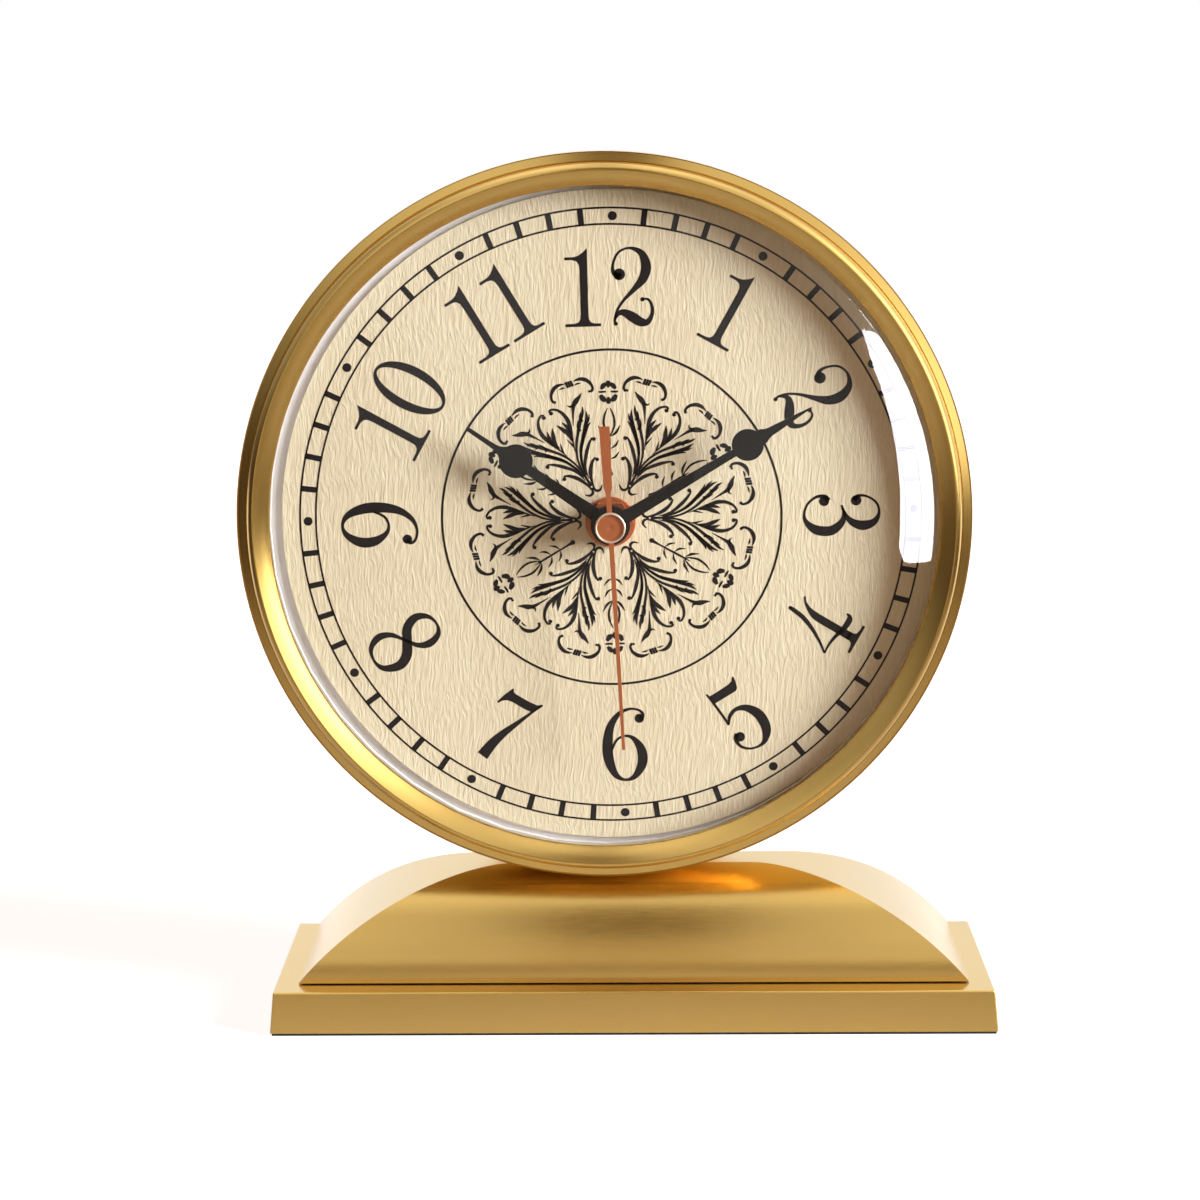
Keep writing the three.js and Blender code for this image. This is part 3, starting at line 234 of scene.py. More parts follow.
# How a circle drawn flat is turned to stand across each axis
TURNS = {"X": (0, math.pi / 2, 0), "Y": (math.pi / 2, 0, 0), "Z": (0, 0, 0)}


def turned(name, profile, middle_at, axis="Y", steps=160, degrees=30, closed=True):
    """A turned piece: a circle drawn out and scaled ring by ring along an axis.

    The profile is a list of (radius, place along the axis) in millimetres, and the middle is in metres.
    """
    along = Vector([float(letter == axis) for letter in "XYZ"])
    if axis == "Y":
        along.negate()
    rings = list(profile) + list(profile[:1]) if closed else list(profile)
    radius, place = rings[0]
    radius = max(radius, 0.001)
    pick_nothing()
    bpy.context.tool_settings.mesh_select_mode = (True, False, False)
    bpy.ops.mesh.primitive_circle_add(
        vertices=steps, radius=radius * MM, rotation=TURNS[axis],
        location=Vector(middle_at) + along * place * MM,
    )
    bpy.ops.object.mode_set(mode="EDIT")
    bpy.ops.mesh.select_all(action="SELECT")
    for next_radius, next_place in rings[1:]:
        next_radius = max(next_radius, 0.001)
        bpy.ops.mesh.extrude_region_move(
            TRANSFORM_OT_translate={"value": along * (next_place - place) * MM},
        )
        grow = next_radius / radius
        bpy.ops.transform.resize(
            value=[1 if letter == axis else grow for letter in "XYZ"],
            center_override=Vector(middle_at) + along * next_place * MM,
        )
        radius, place = next_radius, next_place
    bpy.ops.mesh.select_all(action="SELECT")
    bpy.ops.mesh.remove_doubles(threshold=4e-6)
    bpy.ops.mesh.normals_make_consistent(inside=False)
    return smoothed(settled(name), degrees)


def plate(name, outline, low, high, axis="Y"):
    """A flat piece: a filled outline drawn out along an axis.

    The outline is a list of (across, up) in metres, and low and high are world places along the axis.
    """
    along = "XYZ".index(axis)
    pick_nothing()
    bpy.ops.mesh.primitive_circle_add(vertices=len(outline), radius=1, fill_type="NGON")
    piece = bpy.context.object
    for vertex, (across, up) in zip(piece.data.vertices, outline):
        place = {"X": (low, across, up), "Y": (across, low, up), "Z": (across, up, low)}[axis]
        vertex.co = place
    bpy.ops.object.mode_set(mode="EDIT")
    bpy.ops.mesh.select_all(action="SELECT")
    push = [0.0, 0.0, 0.0]
    push[along] = high - low
    bpy.ops.mesh.extrude_region_move(TRANSFORM_OT_translate={"value": push})
    bpy.ops.mesh.select_all(action="SELECT")
    bpy.ops.mesh.normals_make_consistent(inside=False)
    return settled(name)


def block(name, low, high):
    """A block between two corners."""
    low, high = Vector(low), Vector(high)
    pick_nothing()
    bpy.ops.mesh.primitive_cube_add(size=1, location=(low + high) / 2, scale=high - low)
    return settled(name)


def faces_where(piece, test):
    """Selects the faces that pass a test, ready for edit mode."""
    pick(piece)
    bpy.ops.object.mode_set(mode="EDIT")
    bpy.ops.mesh.select_mode(type="FACE")
    bpy.ops.mesh.select_all(action="DESELECT")
    bpy.ops.object.mode_set(mode="OBJECT")
    for polygon in piece.data.polygons:
        polygon.select = bool(test(polygon))
    bpy.ops.object.mode_set(mode="EDIT")


def softened(points, rounds, steps=4):
    """A closed profile with its corners rounded; rounds gives each corner's radius, 0 for none."""
    out = []
    count = len(points)
    for index, (point, size) in enumerate(zip(points, rounds)):
        here = Vector(point)
        if not size:
            out.append(tuple(here))
            continue
        before = Vector(points[index - 1]) - here
        after = Vector(points[(index + 1) % count]) - here
        near = here + before.normalized() * min(size, before.length * 0.49)
        far = here + after.normalized() * min(size, after.length * 0.49)
        for step in range(steps + 1):
            share = step / steps
            place = near * (1 - share) ** 2 + here * 2 * share * (1 - share) + far * share ** 2
            out.append(tuple(place))
    return out


def arc(middle_at, radius, start, end, steps):
    """Points on an arc, angles in degrees."""
    return [
        (
            middle_at[0] + radius * math.cos(math.radians(start + (end - start) * step / steps)),
            middle_at[1] + radius * math.sin(math.radians(start + (end - start) * step / steps)),
        )
        for step in range(steps + 1)
    ]


def rounded_square(half, corner):
    """Outline of a square with round corners round the hands' axis; both measures are in metres."""
    points = []
    for turn, (right, up) in enumerate(((1, 1), (-1, 1), (-1, -1), (1, -1))):
        at = (SHAFT.x + right * (half - corner), SHAFT.z + up * (half - corner))
        points += arc(at, corner, turn * 90, turn * 90 + 90, 6)
    return points


def mirrored(half, centre=0.0):
    """A whole outline from one half of it."""
    return half + [(2 * centre - across, up) for across, up in reversed(half)]


def given(piece, body, slot, finish, *nodes):
    """Gives a piece its body, its finish and the nodes that it stands for; the slot is not used."""
    piece.data.materials.clear()
    piece.data.materials.append(material(finish))
    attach(piece, body)
    if nodes:
        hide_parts(*nodes)
    return piece


def coated(finish, *nodes):
    """Gives CAD nodes their finish."""
    for node in nodes:
        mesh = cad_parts[node].data
        mesh.materials.clear()
        mesh.materials.append(material(finish))


# Materials

class Value:
    """A number in a material's nodes that takes part in sums."""

    def __init__(self, finish, socket):
        self.finish = finish
        self.socket = socket

    def sum(self, operation, *terms):
        """A Math node over this value and others."""
        return self.finish.node("ShaderNodeMath", {"operation": operation}, *terms)

    def __add__(self, other):
        return self.sum("ADD", self, other)

    __radd__ = __add__

    def __sub__(self, other):
        return self.sum("SUBTRACT", self, other)

    def __rsub__(self, other):
        return self.sum("SUBTRACT", other, self)

    def __mul__(self, other):
        return self.sum("MULTIPLY", self, other)

    __rmul__ = __mul__

    def __truediv__(self, other):
        return self.sum("DIVIDE", self, other)

    def __rtruediv__(self, other):
        return self.sum("DIVIDE", other, self)

    def __pow__(self, other):
        return self.sum("POWER", self, other)

    def __neg__(self):
        return self.sum("MULTIPLY", self, -1.0)

    def __abs__(self):
        return self.sum("ABSOLUTE", self)

    def __lt__(self, other):
        return self.sum("LESS_THAN", self, other)

    def __gt__(self, other):
        return self.sum("GREATER_THAN", self, other)


class Finish:
    """A material and the one way to add nodes to it."""

    def __init__(self, name, owner=None):
        self.owner = owner or bpy.data.materials.new(name)
        self.owner.use_nodes = True
        self.tree = self.owner.node_tree
        self.tree.nodes.clear()

    def put(self, socket, value):
        """Links a value to a socket, or sets the socket to a plain one."""
        if isinstance(value, Value):
            value = value.socket
        if isinstance(value, bpy.types.NodeSocket):
            self.tree.links.new(value, socket)
        elif hasattr(socket, "default_value"):
            if socket.type == "RGBA" and len(value) == 3:
                value = (*value, 1.0)
            socket.default_value = value

    def node(self, kind, settings=None, *inputs, output=0, **named):
        """A node with its settings, then its inputs in order or by name."""
        made = self.tree.nodes.new(kind)
        for key, value in (settings or {}).items():
            setattr(made, key, value)
        for index, value in enumerate(inputs):
            if value is not None:
                self.put(made.inputs[index], value)
        for key, value in named.items():
            self.put(made.inputs[key.replace("_", " ")], value)
        return Value(self, made.outputs[output])

    def place(self):
        """Where a point lies on the clock."""
        return self.node("ShaderNodeTexCoord", output="Object")

    def parts(self, vector):
        """The x, y and z of a vector."""
        made = self.tree.nodes.new("ShaderNodeSeparateXYZ")
        self.put(made.inputs[0], vector)
        return [Value(self, made.outputs[index]) for index in range(3)]

    def round_axis(self, centre):
        """A place's offsets and distance from an axis that runs along Y, and its own y."""
        x, y, z = self.parts(self.place())
        off_x, off_z = x - centre.x, z - centre.z
        return off_x, off_z, (off_x * off_x + off_z * off_z) ** 0.5, y

    def vector(self, x, y, z):
        """A vector from three values."""
        return self.node("ShaderNodeCombineXYZ", None, x, y, z)

    def ray(self, kind):
        """What Light Path tells about the ray that arrives."""
        return self.node("ShaderNodeLightPath", output=kind)

    def noise(self, vector, scale=1.0, detail=2.0, roughness=0.5, distortion=0.0):
        """Soft noise, 0 to 1."""
        return self.node(
            "ShaderNodeTexNoise", {"noise_dimensions": "3D"}, Vector=vector, Scale=scale, Detail=detail,
            Roughness=roughness, Distortion=distortion,
        )

    def mixed(self, share, one, other):
        """A colour between two."""
        made = self.tree.nodes.new("ShaderNodeMix")
        made.data_type = "RGBA"
        self.put(made.inputs["Factor"], share)
        self.put(made.inputs[6], one)
        self.put(made.inputs[7], other)
        return Value(self, made.outputs[2])

    def fit(self, value, low, high, to_low=0.0, to_high=1.0, smooth=False):
        """A value stretched from one range to another, and held at its ends."""
        return self.node(
            "ShaderNodeMapRange", {"interpolation_type": "SMOOTHSTEP" if smooth else "LINEAR"},
            value, low, high, to_low, to_high,
        )

    def bump(self, height, strength, depth):
        """A fine relief; its depth is in hundredths of a millimetre."""
        return self.node("ShaderNodeBump", None, Strength=strength, Distance=depth * 0.01 * MM, Height=height)

    def surfaced(self, **named):
        """The finished material, with one shader that takes these inputs."""
        return self.finished(self.node("ShaderNodeBsdfPrincipled", None, **named))

    def glow(self, colour, strength=1.0):
        """Light of its own."""
        return self.node("ShaderNodeEmission", None, Color=colour, Strength=strength)

    def finished(self, surface, kind="Material"):
        """The finished material."""
        made = self.tree.nodes.new("ShaderNodeOutput" + kind)
        self.put(made.inputs["Surface"], surface)
        return self.owner


def grain(finish, kind):
    """Streaks of a brushed metal, 0 to 1: along X, or in rings round the drum's axis."""
    if kind == "rings":
        across, up, radius, y = finish.round_axis(DRUM)
        fine, round_about = 5200, 3.0
        vector = finish.vector(radius * fine, across / radius * round_about, up / radius * round_about)
        return finish.node(
            "ShaderNodeTexNoise", {"noise_dimensions": "4D"}, Vector=vector, W=y * fine, Scale=1.0, Detail=3.0,
        )
    x, y, z = finish.parts(finish.place())
    return finish.noise(finish.vector(x * 170, y * 7000, z * 7000), 1.0, 2.0, 0.5)


def shade(colour, share):
    """A colour made darker or lighter by a share."""
    return tuple(min(part * share, 1.0) for part in colour)


def brushed(name, colour, kind, roughness, relief):
    """Satin metal under clear lacquer, with fine streaks and a faint unevenness."""
    finish = Finish(name)
    streak = grain(finish, kind)
    cloud = finish.noise(finish.place(), 22.0, 2.0)
    base = finish.mixed(finish.fit(streak * 0.6 + cloud * 0.8, 0.45, 0.95), shade(colour, 0.94), colour)
    return finish.surfaced(
        Base_Color=base, Metallic=1.0, Coat_Weight=0.9, Coat_Roughness=0.2,
        Roughness=finish.fit(streak, 0.3, 0.7, roughness - 0.03, roughness + 0.04),
        Normal=finish.bump(streak, relief, 6),
    )


def plain_metal(name, colour, roughness):
    """Plain metal with faint clouds and fine scratches."""
    finish = Finish(name)
    cloud = finish.noise(finish.place(), 300.0, 3.0)
    fine = finish.noise(finish.place(), 2500.0, 2.0)
    return finish.surfaced(
        Base_Color=finish.mixed(cloud, shade(colour, 0.86), colour), Metallic=1.0,
        Roughness=finish.fit(cloud, 0.3, 0.7, roughness - 0.05, roughness + 0.07),
        Normal=finish.bump(fine, 0.1, 3),
    )


def coppered(name, colour):
    """Satin copper finish; the turned edge of the hub cap is pale and more metallic: partly a polished edge,
    partly a painted highlight.
    """
    finish = Finish(name)
    _, _, radius, y = finish.round_axis(SHAFT)
    # A pale, more metallic ring on the cap's rim: a polished edge with a painted highlight on it.
    rim_highlight_from, rim_highlight_ahead, rim_highlight_colour = 3.22 * MM, ahead(8.5), (0.86, 0.68, 0.58)
    polished_rim_and_highlight = (radius > rim_highlight_from) * (y < rim_highlight_ahead)
    fine = finish.noise(finish.place(), 1600.0, 3.0)
    base = finish.mixed(polished_rim_and_highlight, finish.mixed(fine, shade(colour, 0.85), colour), rim_highlight_colour)
    return finish.surfaced(
        Base_Color=base, Metallic=finish.fit(polished_rim_and_highlight, 0, 1, 0.55, 0.9),
        Roughness=finish.fit(fine, 0.3, 0.7, 0.36, 0.46), Normal=finish.bump(fine, 0.1, 3),
    )


def moulded(name, colour, roughness, texture, scale=2200.0):
    """Moulded plastic with a fine spark texture."""
    finish = Finish(name)
    fine = finish.noise(finish.place(), scale, 3.0, 0.6)
    cloud = finish.noise(finish.place(), 60.0, 2.0)
    return finish.surfaced(
        Base_Color=finish.mixed(cloud, shade(colour, 0.85), colour),
        Roughness=finish.fit(fine, 0.3, 0.7, roughness - 0.08, roughness + 0.08),
        Normal=finish.bump(fine, texture, 8),
    )


def felt(name):
    """Black felt: short tangled fibres."""
    finish = Finish(name)
    fibre = finish.noise(finish.place(), 1400.0, 6.0, 0.75, 1.5)
    base = finish.mixed(fibre, (0.004, 0.004, 0.004), (0.035, 0.033, 0.032))
    return finish.surfaced(Base_Color=base, Roughness=0.95, Normal=finish.bump(fibre, 0.6, 30))


def dial_card(name, colour):
    """Cream card with a fine wavy grain that runs upright."""
    finish = Finish(name)
    x, _, z = finish.parts(finish.place())
    drift = finish.noise(finish.place(), 55.0, 2.0) - 0.5
    wave = finish.noise(finish.vector(x * 1300 + drift * 6.0, 0.0, z * 270 + drift * 4.0), 1.0, 3.0, 0.55, 0.5)
    cloud = finish.noise(finish.place(), 18.0, 2.0)
    deep = tuple(part * share for part, share in zip(colour, (0.91, 0.89, 0.84)))
    base = finish.mixed(finish.fit(wave * 0.7 + cloud * 0.3, 0.35, 0.65), deep, shade(colour, 1.05))
    return finish.surfaced(Base_Color=base, Roughness=0.62, Normal=finish.bump(wave, 0.6, 30))


def ink(name, colour):
    """Dull black ink, a little uneven."""
    finish = Finish(name)
    cloud = finish.noise(finish.place(), 900.0, 3.0)
    return finish.surfaced(
        Base_Color=finish.mixed(cloud, colour, shade(colour, 1.9)), Roughness=0.6, Specular_IOR_Level=0.2,
        Normal=finish.bump(cloud, 0.15, 4),
    )


def lacquer(name):
    """Black satin lacquer of the hands."""
    finish = Finish(name)
    fine = finish.noise(finish.place(), 1800.0, 3.0)
    base = finish.mixed(fine, (0.004, 0.0035, 0.004), (0.011, 0.010, 0.011))
    return finish.surfaced(
        Base_Color=base, Roughness=finish.fit(fine, 0.3, 0.7, 0.38, 0.5), Specular_IOR_Level=0.25,
        Normal=finish.bump(fine, 0.12, 3),
    )


def clear(name):
    """Clear moulded lens: its outside mirrors by the angle, and it lets nearly all of the light through."""
    finish = Finish(name)
    ripple = finish.noise(finish.place(), 14.0, 2.0)
    polish = finish.fit(ripple, 0.3, 0.7, 0.015, 0.03)
    glint = finish.node("ShaderNodeBsdfGlossy", None, Roughness=polish, Color=(1.0, 1.0, 1.0))
    through = finish.node("ShaderNodeBsdfTransparent", None, Color=(0.985, 0.988, 0.985))
    lean = finish.node("ShaderNodeLayerWeight", None, output="Facing")
    inside = finish.node("ShaderNodeNewGeometry", None, output="Backfacing")
    head_on, edge_on, lost = 0.024, 0.9, 0.15
    share = (lean ** 5 * edge_on + head_on) * (1 - inside) * (1 - finish.ray("Is Shadow Ray") * (1 - lost))
    return finish.finished(finish.node("ShaderNodeMixShader", None, share, through, glint))


def cell_skin(name, colour):
    """Printed sleeve of the cell: dark, with a pale band at the plus end and bare steel at both ends."""
    finish = Finish(name)
    low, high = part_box("cell")
    x, _, _ = finish.parts(finish.place())
    share = finish.fit(x, low.x, high.x)
    ends = (share > 0.962) + (share < 0.012)
    band = (share > 0.80) * (share < 0.955)
    band_colour, steel = (0.55, 0.36, 0.12), (0.6, 0.6, 0.62)
    fine = finish.noise(finish.place(), 900.0, 2.0)
    sleeve = finish.mixed(band, finish.mixed(fine, colour, shade(colour, 1.5)), band_colour)
    return finish.surfaced(
        Base_Color=finish.mixed(ends, sleeve, steel), Metallic=ends,
        Roughness=finish.fit(fine, 0.3, 0.7, 0.25, 0.34), Normal=finish.bump(fine, 0.05, 3),
    )


def wound_wire(name):
    """Enamelled copper wire wound round the core: fine upright turns, with painted shade between them."""
    finish = Finish(name)
    _, _, z = finish.parts(finish.place())
    waves = 31000.0  # radians to the metre, so a wire of 0.2 mm
    turn = finish.node("ShaderNodeMath", {"operation": "SINE"}, z * waves)
    # Dark between the turns and light on them: painted shade in the grooves, beside the bump.
    base = finish.mixed(finish.fit(turn, -1, 1), (0.16, 0.035, 0.012), (0.48, 0.15, 0.06))
    return finish.surfaced(Base_Color=base, Metallic=0.8, Roughness=0.34, Normal=finish.bump(turn, 0.5, 8))


def green_board(name):
    """Lacquered circuit board with faint tracks."""
    finish = Finish(name)
    cells = finish.node(
        "ShaderNodeTexVoronoi", {"distance": "CHEBYCHEV"}, Vector=finish.place(), Scale=420.0, Randomness=0.6,
    )
    track = finish.fit(cells, 0.28, 0.34)
    base = finish.mixed(track, (0.012, 0.075, 0.035), (0.03, 0.16, 0.08))
    return finish.surfaced(Base_Color=base, Roughness=0.3, Normal=finish.bump(track, 0.2, 3))


# Each finish: its maker, its label, its colour or the setting that holds it, and the maker's other values
FINISHES = {
    "brass_flat": (brushed, "Brushed brass", "brass", "along", 0.22, 0.14),
    "brass_rings": (brushed, "Turned satin brass", "brass", "rings", 0.23, 0.05),
    "brass_case": (brushed, "Satin brass of the case", "brass", "rings", 0.42, 0.05),
    "copper": (coppered, "Copper finish", "copper"),
    "plain_brass": (plain_metal, "Plain brass", (0.66, 0.42, 0.15), 0.3),
    "steel": (plain_metal, "Steel", (0.55, 0.56, 0.58), 0.3),
    "magnet": (plain_metal, "Magnet", (0.12, 0.12, 0.13), 0.42),
    "wire": (wound_wire, "Enamelled wire"),
    "lacquer": (lacquer, "Black hand lacquer"),
    "card": (dial_card, "Cream dial card", "cream"),
    "ink": (ink, "Dial print", "ink"),
    "board": (moulded, "White board", "board", 0.7, 0.1, 900.0),
    "clear": (clear, "Clear lens"),
    "black": (moulded, "Black moulded plastic", (0.014, 0.014, 0.015), 0.48, 0.35),
    "white": (moulded, "White moulded plastic", (0.80, 0.78, 0.74), 0.35, 0.06),
    "rubber": (moulded, "Black rubber", (0.011, 0.011, 0.011), 0.75, 0.3, 1500.0),
    "felt": (felt, "Black felt"),
    "cell": (cell_skin, "Cell sleeve", "sleeve"),
    "green": (green_board, "Circuit board lacquer"),
}
MATERIALS = {}


def material(name):
    """The material of a finish, made once."""
    if name not in MATERIALS:
        maker, label, *values = FINISHES[name]
        if values and isinstance(values[0], str):
            values[0] = tuple(getattr(bpy.context.scene.desk_clock.colours, values[0]))
        MATERIALS[name] = maker(label, *values)
    return MATERIALS[name]


# Printed figures: strokes are (across, up, width) on a figure one unit tall, balls are (across, up, radius)

FIGURES = {
    "0": {
        "rings": [((0.0, 0.503), (0.28, 0.503), (0.168, 0.467))],
    },
    "1": {
        "shapes": [[
            (0.052, 0.998), (0.0, 0.945), (-0.06, 0.905), (-0.12, 0.888), (-0.235, 0.886), (-0.24, 0.866),
            (-0.235, 0.85), (-0.14, 0.85), (-0.085, 0.832), (-0.056, 0.79), (-0.048, 0.72), (-0.048, 0.15),
            (-0.055, 0.09), (-0.08, 0.055), (-0.13, 0.04), (-0.245, 0.037), (-0.25, 0.02), (-0.245, 0.0),
            (0.205, 0.0), (0.21, 0.02), (0.205, 0.037), (0.12, 0.04), (0.08, 0.055), (0.057, 0.09),
            (0.05, 0.15),
        ]],
    },
    "2": {
        "strokes": [
            [(-0.14, 0.62, 0.09), (-0.225, 0.68, 0.05), (-0.23, 0.79, 0.03), (-0.16, 0.93, 0.028),
             (-0.02, 0.985, 0.03), (0.13, 0.92, 0.075), (0.19, 0.76, 0.115), (0.15, 0.6, 0.105),
             (0.03, 0.46, 0.06), (-0.1, 0.33, 0.034), (-0.19, 0.2, 0.028), (-0.225, 0.08, 0.028),
             (-0.215, 0.03, 0.03)],
            [(-0.225, 0.07, 0.01), (-0.175, 0.155, 0.05), (-0.1, 0.165, 0.085), (0.0, 0.11, 0.115),
             (0.1, 0.045, 0.105), (0.19, 0.04, 0.07), (0.25, 0.13, 0.045), (0.255, 0.24, 0.035),
             (0.21, 0.325, 0.028), (0.14, 0.335, 0.02)],
        ],
        "balls": [(-0.155, 0.655, 0.075), (-0.213, 0.028, 0.026), (0.135, 0.33, 0.028)],
    },
    "3": {
        "strokes": [
            [(-0.17, 0.66, 0.08), (-0.225, 0.72, 0.04), (-0.215, 0.83, 0.028), (-0.13, 0.95, 0.028),
             (0.0, 0.985, 0.034), (0.12, 0.92, 0.08), (0.165, 0.78, 0.115), (0.12, 0.64, 0.085),
             (0.02, 0.55, 0.045), (-0.11, 0.5, 0.022)],
            [(-0.11, 0.5, 0.02), (0.0, 0.53, 0.04), (0.12, 0.5, 0.08), (0.225, 0.36, 0.115),
             (0.21, 0.17, 0.11), (0.11, 0.045, 0.06), (0.0, 0.015, 0.03), (-0.13, 0.06, 0.028),
             (-0.22, 0.17, 0.035), (-0.225, 0.28, 0.05), (-0.17, 0.33, 0.07)],
        ],
        "balls": [(-0.165, 0.69, 0.068), (-0.165, 0.275, 0.066)],
    },
    "4": {
        "strokes": [
            [(-0.013, 1.0, 0.04), (-0.018, 0.93, 0.05), (-0.045, 0.78, 0.055), (-0.12, 0.6, 0.045),
             (-0.23, 0.42, 0.032), (-0.325, 0.3, 0.025)],
            [(-0.33, 0.292, 0.02), (-0.2, 0.3, 0.03), (-0.05, 0.275, 0.045), (0.08, 0.235, 0.065),
             (0.2, 0.225, 0.072), (0.255, 0.25, 0.05), (0.27, 0.3, 0.012)],
            [(0.21, 0.895, 0.022), (0.14, 0.84, 0.03), (0.085, 0.75, 0.055), (0.05, 0.64, 0.09),
             (0.04, 0.5, 0.096), (0.03, 0.2, 0.096), (0.027, 0.1, 0.1)],
        ],
        "shapes": [[
            (-0.02, 0.15), (-0.027, 0.09), (-0.05, 0.055), (-0.1, 0.04), (-0.17, 0.037), (-0.175, 0.018),
            (-0.17, 0.0), (0.23, 0.0), (0.235, 0.018), (0.23, 0.037), (0.15, 0.04), (0.1, 0.055),
            (0.082, 0.09), (0.076, 0.15),
        ]],
        "balls": [(-0.013, 0.985, 0.025)],
    },
    "5": {
        "strokes": [
            [(-0.25, 0.975, 0.02), (-0.235, 0.86, 0.03), (-0.22, 0.66, 0.03), (-0.21, 0.465, 0.03)],
            [(-0.21, 0.47, 0.02), (-0.14, 0.56, 0.045), (-0.02, 0.6, 0.05), (0.11, 0.54, 0.085),
             (0.2, 0.38, 0.12), (0.19, 0.18, 0.115), (0.1, 0.05, 0.07), (0.0, 0.012, 0.034),
             (-0.13, 0.04, 0.028), (-0.225, 0.13, 0.035), (-0.235, 0.25, 0.05), (-0.18, 0.305, 0.06)],
        ],
        "shapes": [[
            (-0.235, 0.93), (-0.1, 0.932), (0.06, 0.94), (0.125, 0.96), (0.155, 1.005), (0.175, 0.998),
            (0.168, 0.93), (0.14, 0.84), (0.1, 0.815), (-0.225, 0.81),
        ]],
        "balls": [(-0.17, 0.25, 0.066)],
    },
    "6": {
        "strokes": [
            [(0.2, 0.84, 0.07), (0.25, 0.9, 0.04), (0.2, 0.965, 0.03), (0.07, 0.985, 0.032),
             (-0.07, 0.92, 0.055), (-0.18, 0.76, 0.09), (-0.225, 0.54, 0.12), (-0.215, 0.3, 0.12),
             (-0.13, 0.09, 0.075), (0.0, 0.018, 0.034), (0.13, 0.07, 0.07), (0.225, 0.24, 0.115),
             (0.22, 0.42, 0.11), (0.13, 0.57, 0.06), (0.02, 0.62, 0.032), (-0.1, 0.57, 0.03),
             (-0.18, 0.42, 0.03)],
        ],
        "balls": [(0.2, 0.855, 0.062)],
    },
    "7": {
        "strokes": [
            [(0.275, 0.985, 0.022), (0.2, 0.84, 0.03), (0.1, 0.62, 0.055), (0.0, 0.4, 0.09),
             (-0.065, 0.2, 0.12), (-0.1, 0.0, 0.14)],
        ],
        "shapes": [[
            (-0.175, 1.005), (-0.155, 0.995), (-0.145, 0.965), (-0.1, 0.952), (0.1, 0.945), (0.22, 0.955),
            (0.268, 0.995), (0.285, 0.985), (0.2, 0.835), (0.08, 0.828), (-0.1, 0.838), (-0.17, 0.825),
            (-0.22, 0.79), (-0.255, 0.735), (-0.275, 0.745), (-0.24, 0.86),
        ]],
    },
    "8": {
        "loops": [[
            (0.0, 0.985, 0.03), (-0.14, 0.935, 0.055), (-0.21, 0.79, 0.095), (-0.15, 0.63, 0.11),
            (0.0, 0.53, 0.115), (0.16, 0.42, 0.12), (0.225, 0.26, 0.11), (0.15, 0.07, 0.07),
            (0.0, 0.015, 0.03), (-0.16, 0.07, 0.055), (-0.235, 0.23, 0.085), (-0.18, 0.39, 0.06),
            (-0.03, 0.51, 0.035), (0.12, 0.62, 0.06), (0.18, 0.77, 0.09), (0.13, 0.93, 0.06),
        ]],
    },
}

# Each hour's turn in degrees, then where its middle stands: millimetres out and degrees round
HOURS = {
    1: (30, 59.9, 30.7), 2: (60, 59.2, 59.3), 3: (90, 57.0, 89.4), 4: (-60, 58.9, 117.6),
    5: (-30, 59.1, 147.8), 6: (0, 57.1, 177.9), 7: (30, 58.6, 207.9), 8: (60, 59.7, 240.6),
    9: (-90, 57.1, 270.6), 10: (-60, 58.9, 300.1), 11: (-30, 59.3, 332.1), 12: (0, 57.7, 1.5),
}

